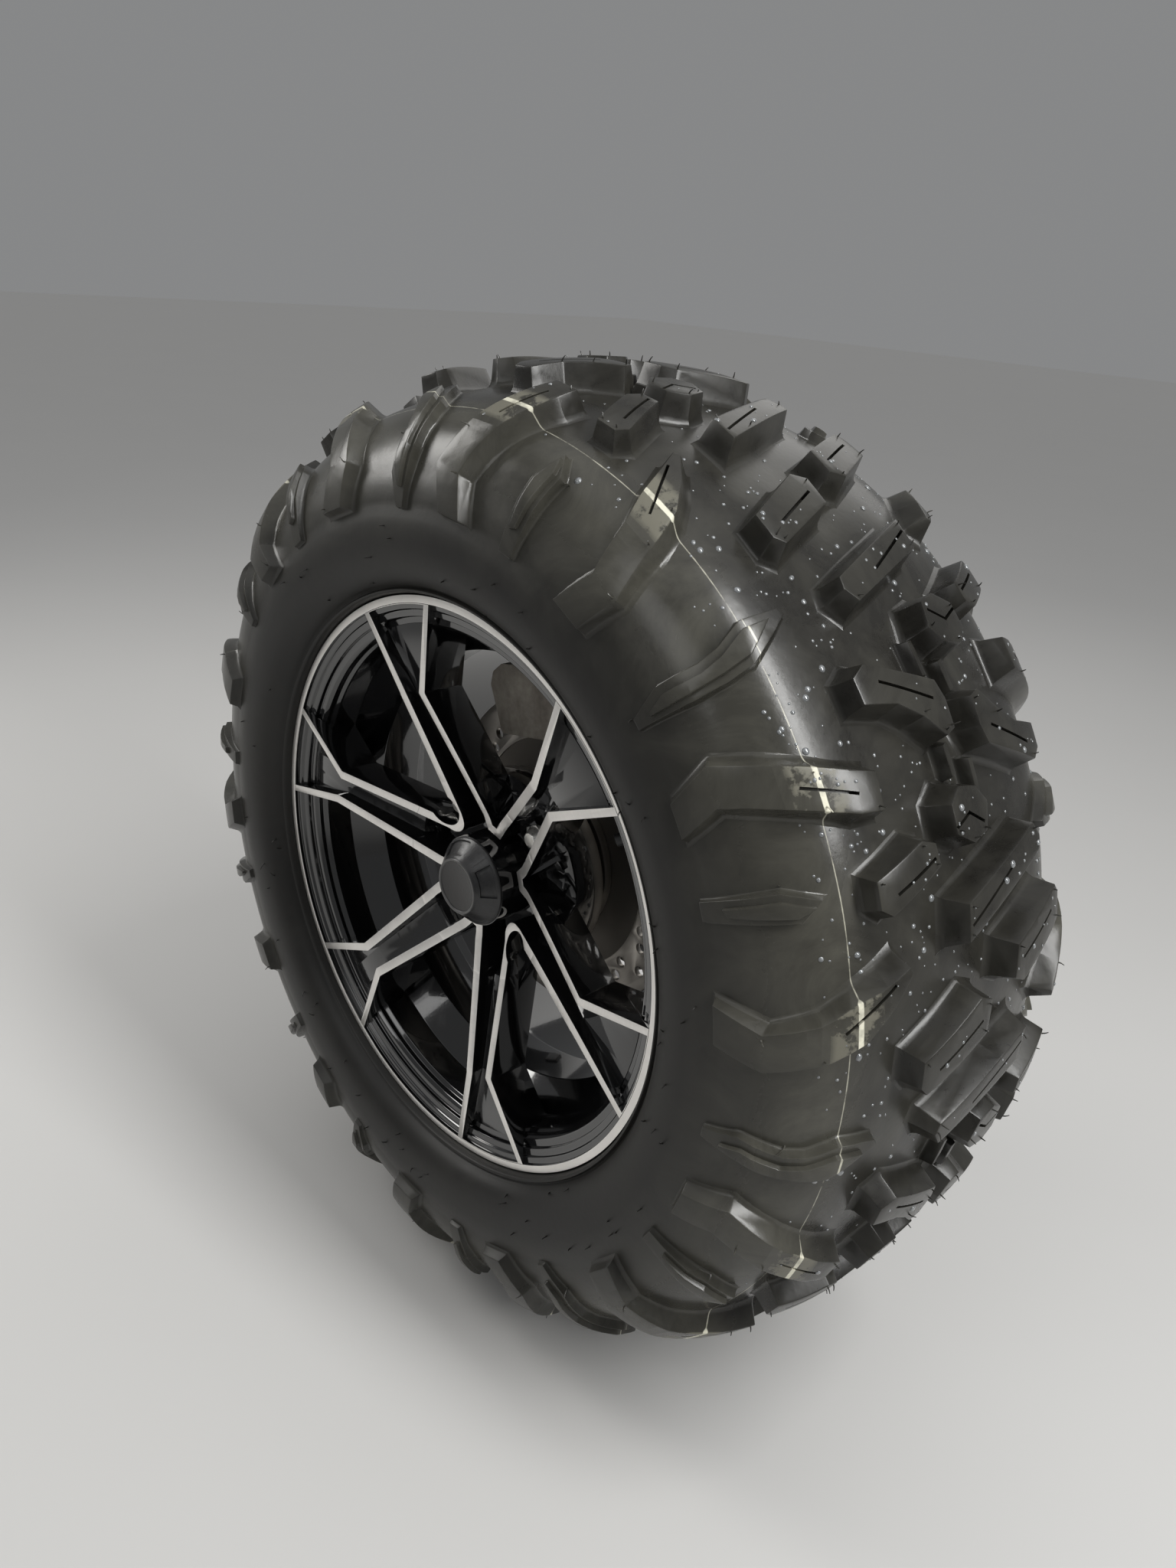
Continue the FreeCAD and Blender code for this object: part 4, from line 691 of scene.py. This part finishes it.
def flat_lug(top, foot, fillet):
    """Solid lug on the flat tread with sloped sides and a fillet at its foot."""
    # Height over the groove floor, share of the way from the top's outline to the foot's, fillet
    rings = (
        (FLAT_LUG, 0.0, 0.0),
        (3.6, 0.775, 0.0),
        (1.7, 0.894, 0.22),
        (0.6, 0.962, 0.62),
        (-0.1, 1.0, 1.25),
        (-2.5, 1.0, 1.5),
    )
    work = bmesh.new()
    levels = []
    for height, share, out in rings:
        outline = spread([a.lerp(b, share) for a, b in zip(top, foot)], fillet * out)
        levels.append([work.verts.new((p.x, p.y, height - FLAT_LUG)) for p in outline])
    work.faces.new(levels[0])
    work.faces.new(levels[-1][::-1])
    for upper, lower in zip(levels, levels[1:]):
        join_rings(work, lower, upper)
    bmesh.ops.recalc_face_normals(work, faces=work.faces)
    return work


def round_top(work, reach):
    """Round the edges of the top and the upright corners."""
    chosen = []
    for edge in work.edges:
        heights = [v.co.z for v in edge.verts]
        if max(heights) > -0.01 and edge.calc_face_angle(0.0) > math.radians(16):
            chosen.append(edge)
    bevel(work, chosen, reach, 0.6)


def slit_boxes(run, twin, width, depth):
    """Cutting boxes for a slit that follows a run of (y, angle) points."""
    line = [flat_point(y, angle, twin) for y, angle in run]
    boxes = []
    for start, end in zip(line, line[1:]):
        along = (end - start).normalized()
        side = Vector((-along.y, along.x)) * width / 2
        reach = along * width * 0.45 if len(line) > 2 else along * 0
        first = start - reach
        last = end + reach
        corners = [first + side, first - side, last - side, last + side]
        box = bmesh.new()
        lower = [box.verts.new((c.x, c.y, -depth)) for c in corners]
        upper = [box.verts.new((c.x, c.y, 3.0)) for c in corners]
        box.faces.new(lower[::-1])
        box.faces.new(upper)
        join_rings(box, lower, upper)
        bmesh.ops.recalc_face_normals(box, faces=box.faces)
        boxes.append(box)
    return boxes


def to_mesh(work, name):
    """Mesh from a bmesh, which is freed."""
    mesh = bpy.data.meshes.new(name)
    work.to_mesh(mesh)
    work.free()
    return mesh


def cut_away(mesh, cutters):
    """Mesh with the cutters' shapes taken out of it."""
    body = linked("lug_work", mesh)
    tools = []
    for index, cutter in enumerate(cutters):
        tool = linked("cutter", to_mesh(cutter, "cutter"))
        change = body.modifiers.new("cut_%d" % index, "BOOLEAN")
        change.operation = "DIFFERENCE"
        change.solver = "EXACT"
        change.object = tool
        tools.append(tool)
    bpy.context.view_layer.update()
    graph = bpy.context.evaluated_depsgraph_get()
    result = bpy.data.meshes.new_from_object(body.evaluated_get(graph))
    for item in tools + [body]:
        bpy.data.objects.remove(item)
    return result


def divided(mesh):
    """Triangles small enough to follow the tyre's curve once wrapped."""
    work = opened(mesh)
    bmesh.ops.remove_doubles(work, verts=work.verts, dist=0.01)
    bmesh.ops.triangulate(work, faces=work.faces)
    crease = between(ARC_OF_Y, CREASE)
    for axis, step in ((0, CUT_ACROSS), (1, CUT_ROUND)):
        low = min(v.co[axis] for v in work.verts)
        high = max(v.co[axis] for v in work.verts)
        count = int((high - low) / step)
        cuts = [low + (high - low) * index / (count + 1) for index in range(1, count + 1)]
        if axis == 0:
            cuts = [cut for cut in cuts if abs(abs(cut) - crease) > 2.0]
            cuts += [cut for cut in (-crease, crease) if low < cut < high]
        for cut in cuts:
            normal = Vector((1 - axis, axis, 0))
            geometry = list(work.verts) + list(work.edges) + list(work.faces)
            bmesh.ops.bisect_plane(work, geom=geometry, plane_co=normal * cut, plane_no=normal, dist=0.02)
    bmesh.ops.triangulate(work, faces=work.faces)
    return work


def lug_mesh(
    corners, twin, settings, feet=None, slit=None, draft=0.24, fillet=2.2, heights=None, creased=False
):
    """One lug, wrapped on the tyre at its first place."""
    top = flat_corners(corners, twin)
    foot = flat_corners(feet, twin) if feet else spread(top, draft * FLAT_LUG)
    work = flat_lug(top, foot, fillet)
    round_top(work, settings.lug_rounding / MM)
    mesh = to_mesh(work, "lug")
    if slit:
        boxes = slit_boxes(slit, twin, settings.slit_width / MM, settings.slit_depth / MM)
        mesh = cut_away(mesh, boxes)
    work = divided(mesh)
    for vertex in work.verts:
        flat = vertex.co.copy()
        y = abs(on_section(flat.x)[1])
        rise = flat.z + FLAT_LUG
        if rise > 0:
            if heights:
                rise *= between(heights, y)
            if creased:
                near = max(0.0, 1 - abs(y - CREASE) / CREASE_REACH)
                rise += rise / FLAT_LUG * CREASE_RISE * near
            flat.z = rise - FLAT_LUG
        vertex.co = wrapped(flat)
    return to_mesh(work, "lug")


def repeated(meshes):
    """One mesh from several, each copied round the tyre."""
    points = []
    faces = []
    for mesh in meshes:
        own = [v.co.copy() for v in mesh.vertices]
        polygons = [tuple(p.vertices) for p in mesh.polygons]
        for unit in range(UNITS):
            turn = Matrix.Rotation(math.radians(UNIT_ANGLE * unit), 3, "Y")
            start = len(points)
            points += [WHEEL_CENTRE + turn @ (co - WHEEL_CENTRE) for co in own]
            faces += [tuple(start + index for index in polygon) for polygon in polygons]
    return mesh_from("lugs", points, faces)


# Share of a lug's full height, against the distance from the middle plane
RIB_TOP = ((0.0, 0.40), (92.0, 0.44), (106.0, 0.56), (134.0, 0.62), (LUG_END, 0.42))
PANEL_TOP = ((0.0, 0.62), (92.0, 0.68), (106.0, 0.84), (134.0, 0.95), (LUG_END, 0.70))
BAR_TOP = ((0.0, 0.48), (LUG_END, 0.48))
# Forms lower than a lug, with the slope of their sides, their fillet and their height
LOW_FORMS = (
    (SIDE_RIBS, {"draft": 0.07, "fillet": 1.0, "heights": RIB_TOP}),
    (RIB_PANELS, {"draft": 0.07, "fillet": 0.2, "heights": PANEL_TOP}),
    (GROOVE_BARS, {"draft": 0.10, "fillet": 0.8, "heights": BAR_TOP}),
)


def tread_lugs(settings):
    """All lugs, ribs, panels and bars as one mesh."""
    meshes = []
    for twin in (False, True):
        for name, corners in CENTRE_LUGS.items():
            meshes.append(lug_mesh(corners, twin, settings, slit=CENTRE_SLITS[name]))
        for name, corners in SHOULDER_LUGS.items():
            feet = SHOULDER_FEET[name]
            slit = SHOULDER_SLITS[name]
            meshes.append(lug_mesh(corners, twin, settings, feet, slit, creased=True))
        for table, form in LOW_FORMS:
            for corners in table.values():
                meshes.append(lug_mesh(corners, twin, settings, **form))
    return repeated(meshes)


def mark_creases(mesh):
    """Sharp edges along the crease of the side lugs' tops."""
    row = on_section(between(ARC_OF_Y, CREASE))
    for edge in mesh.edges:
        away = []
        for index in edge.vertices:
            spot = (mesh.vertices[index].co - WHEEL_CENTRE) / MM
            radius = math.hypot(spot.x, spot.z)
            away.append(abs((abs(spot.y) - row[1]) * row[4] - (radius - row[2]) * row[3]))
        edge.use_edge_sharp = edge.use_edge_sharp or max(away) < 0.05


def carcass_outline():
    """Closed outline of the tyre under its lugs, which starts at the middle of the crown."""
    half = []
    steps = 46
    end = between(ARC_OF_Y, -LUG_END)
    for step in range(steps + 1):
        row = on_section(end * step / steps)
        depth = groove_depth(row[1])
        half.append((row[2] - row[4] * depth, row[1] - row[3] * depth))
    outboard = half + list(SIDEWALL) + list(TYRE_BEAD) + smooth_line(TYRE_INSIDE, 4)
    inboard = [(radius, -y) for radius, y in reversed(outboard) if abs(y) > 0.01]
    return outboard + inboard


def smooth_line(corners, steps):
    """Curve through corners, with points between them."""
    line = []
    last = len(corners) - 1
    for index in range(last):
        p0 = Vector(corners[max(0, index - 1)])
        p1 = Vector(corners[index])
        p2 = Vector(corners[index + 1])
        p3 = Vector(corners[min(last, index + 2)])
        for step in range(steps):
            t = step / steps
            bend = (p2 - p0) * t + (p0 * 2 - p1 * 5 + p2 * 4 - p3) * t ** 2
            bend = bend + (p1 * 3 - p0 - p2 * 3 + p3) * t ** 3
            line.append(tuple(p1 + bend * 0.5))
    line.append(tuple(corners[last]))
    return line


def inside_corners(point, corners):
    """Whether a point lies within a closed outline."""
    inside = False
    count = len(corners)
    for index in range(count):
        a = corners[index]
        b = corners[(index + 1) % count]
        if (a.y > point.y) != (b.y > point.y):
            if point.x < (b.x - a.x) * (point.y - a.y) / (b.y - a.y) + a.x:
                inside = not inside
    return inside


def unit_tops():
    """Top of each lug and rib of one unit on the flat tread, and whether it is a rib."""
    tops = []
    for twin in (False, True):
        for table in (CENTRE_LUGS, SHOULDER_LUGS, SIDE_RIBS):
            tops += [(flat_corners(corners, twin), table is SIDE_RIBS) for corners in table.values()]
    return tops


def ground_height(point, shapes):
    """Height of the flat tread at a point: a lug top, the groove floor, or None on a lug's side."""
    unit = UNIT_ANGLE * DEGREE
    for inner, outer, rib in shapes:
        for turn in (-2, -1, 0, 1, 2):
            shifted = Vector((point.x, point.y - turn * unit))
            if inside_corners(shifted, outer):
                if inside_corners(shifted, inner) and not rib:
                    return 0.0
                return None
    return -FLAT_LUG


def drop_mesh(count):
    """Drops of water scattered on the tread where it faces up and back."""
    chance = random.Random(11)
    shapes = [(spread(top, -1.6), spread(top, 7.0), rib) for top, rib in unit_tops()]
    work = bmesh.new()
    low, high = [between(ARC_OF_Y, y) for y in DROPS_ACROSS]
    unit = UNIT_ANGLE * DEGREE
    middle = TWIN_ANGLE * DEGREE / 2
    made = 0
    while made < count:
        angle = chance.gauss(*DROPS_ROUND)
        flat = Vector((chance.uniform(low, high), angle * DEGREE))
        size = min(LARGEST_DROP, 0.50 + chance.expovariate(2.3))
        if not 0.0 < angle < DROPS_END:
            continue
        home = Vector((flat.x, middle + (flat.y - middle + unit / 2) % unit - unit / 2))
        height = ground_height(home, shapes)
        if height is None:
            continue
        made += 1
        base = wrapped((flat.x, flat.y, height))
        up = (wrapped((flat.x, flat.y, height + 1.0)) - base).normalized()
        turn = up.to_track_quat("Z", "Y").to_matrix().to_4x4()
        half = size * MM
        flatten = Matrix.Diagonal((half, half * chance.uniform(0.85, 1.15), half * 0.62, 1.0))
        matrix = Matrix.Translation(base - up * size * MM * 0.10) @ turn @ flatten
        bmesh.ops.create_icosphere(work, subdivisions=2, radius=1.0, matrix=matrix)
    return to_mesh(work, "drops")


def strand(work, base, up, lean, length, thickness):
    """Thin tapered strand that bends over as it rises."""
    levels = []
    for step in range(HAIR_STEPS + 1):
        share = step / HAIR_STEPS
        centre = base + up * length * share + lean * length * share * share * 0.8
        along = (up + lean * 1.6 * share).normalized()
        first = along.cross(Vector((0.3, 1.0, 0.2))).normalized()
        second = along.cross(first)
        wide = thickness / 2 * (1.0 - 0.55 * share)
        level = []
        for side in range(HAIR_SIDES):
            turn = 2 * math.pi * side / HAIR_SIDES
            spot = centre + first * math.cos(turn) * wide + second * math.sin(turn) * wide
            level.append(work.verts.new(spot))
        levels.append(level)
    for lower, upper in zip(levels, levels[1:]):
        join_rings(work, lower, upper)
    work.faces.new(levels[0][::-1])
    work.faces.new(levels[-1])


def hair_mesh(settings):
    """Vent hairs left by the tyre's mould."""
    chance = random.Random(5)
    work = bmesh.new()
    spots = []
    for unit in range(UNITS):
        turn = unit * UNIT_ANGLE * DEGREE
        for top, rib in unit_tops():
            if rib:
                chosen = [spread(top, 3.0)[chance.randrange(4)]]
            else:
                chosen = chance.sample(spread(top, -2.5), 3)
            height = -FLAT_LUG if rib else 0.0
            spots += [(corner.x, corner.y + turn, height) for corner in chosen]
    for arc, around, height in spots:
        base = wrapped((arc, around, height - 0.6))
        up = (wrapped((arc, around, height + 1.0)) - base).normalized()
        lean = Vector((chance.uniform(-1, 1), chance.uniform(-1, 1), chance.uniform(-1, 1)))
        lean = (lean - up * lean.dot(up)) * chance.uniform(0.3, 1.0)
        top = chance.uniform(*(LUG_HAIRS if height > -1 else RIB_HAIRS))
        strand(work, base, up, lean, top * MM, settings.hair_width)
    for _ in range(SIDEWALL_HAIR_COUNT):
        angle = chance.uniform(0, 360)
        radius = chance.choice(HAIR_RADII) + chance.uniform(-1.5, 1.5)
        side = chance.choice((-1, 1))
        y = between(sorted((r, -v) for r, v in SIDEWALL), radius) * side
        base = place(radius, angle, y)
        up = Vector((0, side, 0))
        around_tyre = (place(radius, angle + 1, y) - base).normalized()
        lean = around_tyre * chance.uniform(-1.2, 1.2)
        strand(work, base - up * 0.0005, up, lean, chance.uniform(*SIDEWALL_HAIRS) * MM, settings.hair_width)
    return to_mesh(work, "hairs")


# Sizes and colours that a user may change
def a_number(name, text, value, **rest):
    return FloatProperty(name=name, description=text, default=value, **rest)


def a_length(name, text, value):
    return a_number(name, text, value, min=0.0, subtype="DISTANCE", unit="LENGTH")


def a_power(name, text, value):
    return a_number(name, text, value, unit="POWER")


def a_count(name, text, value, least):
    return IntProperty(name=name, description=text, default=value, min=least)


def a_colour(name, text, value):
    return FloatVectorProperty(
        name=name, description=text, default=value, size=3, min=0.0, max=1.0, subtype="COLOR"
    )


class TyreSettings(bpy.types.PropertyGroup):
    """Sizes and colours of the tyre."""

    rubber: a_colour("Rubber", "Colour of clean rubber", (0.0088, 0.0082, 0.0072))
    rubber_bloom: a_colour("Bloom", "Colour of smeared or dusty rubber", (0.088, 0.085, 0.070))
    scuff: a_colour("Scuff", "Colour of scuffed lug tops", (0.150, 0.143, 0.112))
    line_colour: a_colour("Paint line", "Colour of the paint line round the tread", (0.68, 0.66, 0.54))
    line_place: a_number(
        "Line place", "Place of the paint line along the axle", -0.1036, subtype="DISTANCE", unit="LENGTH"
    )
    line_width: a_length("Line width", "Width of the paint line in the grooves", 0.0006)
    lug_line_width: a_length("Line width on lugs", "Width of the paint line on the lug tops", 0.0028)
    lug_rounding: a_length("Lug rounding", "Rounding of the lugs' top edges", 0.0007)
    slit_width: a_length("Slit width", "Width of the slits in the lug tops", 0.0017)
    slit_depth: a_length("Slit depth", "Depth of the slits in the lug tops", 0.006)
    hair_width: a_length("Hair width", "Thickness of the vent hairs", 0.0011)
    drops: a_count("Drops", "Number of water drops on the tread", 640, 0)
    segments: a_count("Segments", "Sides of the tyre's round", 336, 28)


class RimSettings(bpy.types.PropertyGroup):
    """Sizes and colours of the rim."""

    paint: a_colour("Paint", "Colour of the gloss lacquer", (0.0035, 0.0035, 0.0038))
    paint_dust: a_colour("Dust", "Colour of dust on the lacquer", (0.030, 0.027, 0.024))
    machined: a_colour("Machined metal", "Colour of the turned rail and lip faces", (0.94, 0.915, 0.88))
    edge: a_length("Edge", "Rounding of the casting's edges", 0.0006)
    segments: a_count("Segments", "Sides of the barrel's round", 288, 24)


class StageSettings(bpy.types.PropertyGroup):
    """Floor, light and camera."""

    floor: a_colour("Floor", "Colour of the floor", (0.52, 0.515, 0.505))
    focal_length: a_number("Focal length", "Camera lens", 27.07, min=10.0, subtype="DISTANCE_CAMERA")
    key_power: a_power("Key light", "Power of the tall key light", 33.0)
    front_power: a_power("Front light", "Power of the front light", 13.0)
    fill_power: a_power("Fill light", "Power of the fill light", 6.5)
    back_power: a_power("Back light", "Power of the back light", 3.5)
    ceiling: a_number("Ceiling light", "Strength of the even light from above", 0.6, min=0.0)
    sky: a_number("Sky", "Strength of the even light from all round", 0.28, min=0.0)


# Operators
class WHEELEND_OT_stage(bpy.types.Operator):
    """Floor, soft light and the camera"""

    bl_idname = "wheelend.stage"
    bl_label = "Stage"

    def execute(self, context):
        settings = context.scene.wheelend_stage
        height = WHEEL_CENTRE.z - TYRE_RADIUS * MM - FLOOR_GAP
        square = ((-1, -1), (1, -1), (1, 1), (-1, 1))
        corners = [(x * FLOOR_HALF, y * FLOOR_HALF, height) for x, y in square]
        mesh = mesh_from("floor", corners, [(0, 1, 2, 3)])
        mesh.materials.append(plain_floor(tuple(settings.floor)))
        floor = linked("floor", mesh)
        for name, spot, size, tint in LAMPS:
            self.add_lamp(name, spot, size, getattr(settings, name + "_power"), tint)
        self.add_ceiling(settings)
        self.set_world(context, settings)
        self.add_camera(context, settings)
        context.scene.view_settings.view_transform = "Standard"
        return {"FINISHED"}

    def add_ceiling(self, settings):
        data = bpy.data.lights.new("ceiling", "SUN")
        data.energy = settings.ceiling
        data.angle = math.radians(70)
        linked("ceiling", data).location = (0, 0, 3)

    def add_lamp(self, name, spot, size, power, tint):
        data = bpy.data.lights.new(name, "AREA")
        data.energy = power
        data.shape = "RECTANGLE"
        data.size, data.size_y = size
        data.color = tint
        lamp = linked(name, data)
        lamp.location = spot
        lamp.rotation_euler = (WHEEL_CENTRE - Vector(spot)).to_track_quat("-Z", "Y").to_euler()

    def set_world(self, context, settings):
        world = bpy.data.worlds.new("studio")
        world.use_nodes = True
        background = world.node_tree.nodes["Background"]
        background.inputs["Color"].default_value = (0.86, 0.87, 0.88, 1.0)
        background.inputs["Strength"].default_value = settings.sky
        context.scene.world = world

    def add_camera(self, context, settings):
        data = bpy.data.cameras.new("camera")
        data.sensor_fit = "VERTICAL"
        data.sensor_height = 36.0
        data.lens = settings.focal_length
        data.clip_start = 0.01
        camera = linked("camera", data)
        turn = Matrix((CAMERA_RIGHT, CAMERA_UP, CAMERA_BACK)).transposed().to_4x4()
        camera.matrix_world = Matrix.Translation(CAMERA_PLACE) @ turn
        context.scene.camera = camera


class WHEELEND_OT_tyre(bpy.types.Operator):
    """Tyre with its lugs, vent hairs and drops of water"""

    bl_idname = "wheelend.tyre"
    bl_label = "Tyre"

    def execute(self, context):
        settings = context.scene.wheelend_tyre
        material = rubber(settings)
        carcass = lathe("tyre_carcass", carcass_outline(), settings.segments)
        add_piece("tyre_carcass", carcass, "wheel", "tyre", material, "tyre", sharp=50.0)
        lugs = tread_lugs(settings)
        add_piece("tyre_lugs", lugs, "wheel", "tyre", material, "tyre", sharp=26.0)
        mark_creases(lugs)
        add_piece("tyre_vent_hairs", hair_mesh(settings), "wheel", "tyre", material)
        add_piece("tyre_water_drops", drop_mesh(settings.drops), "wheel", "tyre", water())
        return {"FINISHED"}


def dress(node, edge, body, slot, material):
    """Put a softened skin in the place of a CAD node."""
    mesh = softened(node, edge)
    add_piece(node + "_skin", mesh, body, slot, material, node)
    return mesh


def paint_rim(mesh, machined):
    """Give the turned faces of a rim mesh its second material."""
    mesh.materials.append(machined)
    for polygon in mesh.polygons:
        centre = polygon.center - WHEEL_CENTRE
        radius = math.hypot(centre.x, centre.z) / MM
        near = abs(centre.y / MM - between(RIM_FACE_LINE, radius)) < TURNED_REACH
        if near and polygon.normal.dot(OUTBOARD) > 0.8:
            polygon.material_index = 1


class WHEELEND_OT_rim(bpy.types.Operator):
    """Cast rim with turned rails and lip on gloss black"""

    bl_idname = "wheelend.rim"
    bl_label = "Rim"

    def execute(self, context):
        settings = context.scene.wheelend_rim
        paint = gloss_paint(settings)
        machined = turned_metal("rim_machined", tuple(settings.machined), 0.36)
        outline = rounded_line(BARREL_OUTSIDE + BARREL_INSIDE, 0.7)
        barrel = lathe("rim_barrel_skin", outline, settings.segments)
        add_piece("rim_barrel_skin", barrel, "wheel", "rim_paint", paint, "rim_barrel")
        paint_rim(barrel, machined)
        for node in ["rim_centre"] + ["rim_spoke_%d" % number for number in range(1, 7)]:
            paint_rim(dress(node, settings.edge, "wheel", "rim_paint", paint), machined)
        return {"FINISHED"}


class WHEELEND_OT_cap_and_nuts(bpy.types.Operator):
    """Centre cap, lug nuts, valve and balance weight"""

    bl_idname = "wheelend.cap_and_nuts"
    bl_label = "Cap and nuts"

    def execute(self, context):
        dress("centre_cap", 0.0007, "wheel", "cap_plastic", cap_plastic())
        zinc = rough_metal("nut_bright", (0.78, 0.77, 0.74), (0.42, 0.40, 0.36), 1.0, 0.22, 300.0, 0.0002)
        for number in range(1, 5):
            dress("lug_nut_%d" % number, 0.0006, "wheel", "nut_chrome", zinc)
        black_rubber = moulded("valve_black", (0.012, 0.012, 0.012), 0.5)
        dress("valve_stem", 0.0006, "wheel", "valve_rubber", black_rubber)
        weight = rough_metal("weight_grey", (0.36, 0.36, 0.37), (0.20, 0.19, 0.18), 0.8, 0.42)
        dress("balance_weight", 0.0005, "wheel", "weight_metal", weight)
        return {"FINISHED"}


def repaint(nodes, material):
    """Give CAD nodes that keep their shape a better material."""
    for node in nodes:
        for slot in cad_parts[node].material_slots:
            slot.material = material


class WHEELEND_OT_brake(bpy.types.Operator):
    """Brake disc, caliper, bracket and pads"""

    bl_idname = "wheelend.brake"
    bl_label = "Brake"

    def execute(self, context):
        dress("brake_disc", 0.0004, "wheel", "disc_steel", disc_steel())
        cast = rough_metal("caliper_cast", (0.40, 0.37, 0.32), (0.20, 0.175, 0.15), 0.55, 0.50)
        dress("brake_caliper", 0.0012, "knuckle", "caliper_alloy", cast)
        iron = rough_metal("bracket_black", (0.045, 0.043, 0.040), (0.085, 0.075, 0.065), 0.5, 0.45)
        dress("caliper_bracket", 0.0008, "knuckle", "bracket_iron", iron)
        lining = rough_metal("pad_lining", (0.10, 0.085, 0.07), (0.17, 0.15, 0.13), 0.1, 0.8, 500.0)
        repaint(["pad_outboard", "pad_inboard"], lining)
        plated = rough_metal("bolt_plated", (0.58, 0.56, 0.52), (0.30, 0.27, 0.22), 0.9, 0.34)
        repaint(["bracket_bolts", "slide_pins", "bleed_screw", "disc_bolts"], plated)
        repaint(["wheel_stud_%d" % number for number in range(1, 5)], plated)
        return {"FINISHED"}


class WHEELEND_OT_knuckle(bpy.types.Operator):
    """Knuckle, hub, bearing and arm bushes"""

    bl_idname = "wheelend.knuckle"
    bl_label = "Knuckle"

    def execute(self, context):
        cast = rough_metal("knuckle_cast", (0.42, 0.40, 0.37), (0.22, 0.20, 0.17), 0.6, 0.52)
        dress("knuckle", 0.0014, "knuckle", "knuckle_alloy", cast)
        steel = turned_metal("hub_turned_steel", (0.50, 0.48, 0.45), 0.34)
        dress("hub", 0.0007, "wheel", "hub_steel", steel)
        races = turned_metal("bearing_ground", (0.66, 0.65, 0.63), 0.2)
        repaint(["bearing_inner_race", "bearing_outer_race"], races)
        repaint(["lower_sleeve", "upper_sleeve"], turned_metal("sleeve_steel", (0.55, 0.53, 0.50), 0.3))
        plastic = moulded("bush_plastic", (0.016, 0.016, 0.017), 0.42)
        ends = ("lower_bush_front", "lower_bush_rear", "upper_bush_front", "upper_bush_rear")
        repaint(ends, plastic)
        return {"FINISHED"}


class WHEELEND_PT_panel(bpy.types.Panel):
    """Lists the building steps and their settings"""

    bl_idname = "WHEELEND_PT_panel"
    bl_label = "Wheel end"
    bl_space_type = "VIEW_3D"
    bl_region_type = "UI"
    bl_category = "Wheel end"

    def draw(self, context):
        for group, names in SHOWN_SETTINGS.items():
            box = self.layout.box()
            for name in names:
                box.prop(getattr(context.scene, group), name)
        for step in STEPS:
            self.layout.operator(step.bl_idname)


STEPS = (
    WHEELEND_OT_stage,
    WHEELEND_OT_tyre,
    WHEELEND_OT_rim,
    WHEELEND_OT_cap_and_nuts,
    WHEELEND_OT_brake,
    WHEELEND_OT_knuckle,
)
GROUPS = {"wheelend_tyre": TyreSettings, "wheelend_rim": RimSettings, "wheelend_stage": StageSettings}
SHOWN_SETTINGS = {group: list(kind.__annotations__) for group, kind in GROUPS.items()}
CLASSES = (*GROUPS.values(), *STEPS, WHEELEND_PT_panel)


def register():
    for kind in CLASSES:
        bpy.utils.register_class(kind)
    for group, kind in GROUPS.items():
        setattr(bpy.types.Scene, group, PointerProperty(type=kind))


def unregister():
    for group in GROUPS:
        delattr(bpy.types.Scene, group)
    for kind in reversed(CLASSES):
        bpy.utils.unregister_class(kind)


def main():
    register()
    for step in STEPS:
        group, name = step.bl_idname.split(".")
        getattr(getattr(bpy.ops, group), name)()


if __name__ == "__main__":
    main()
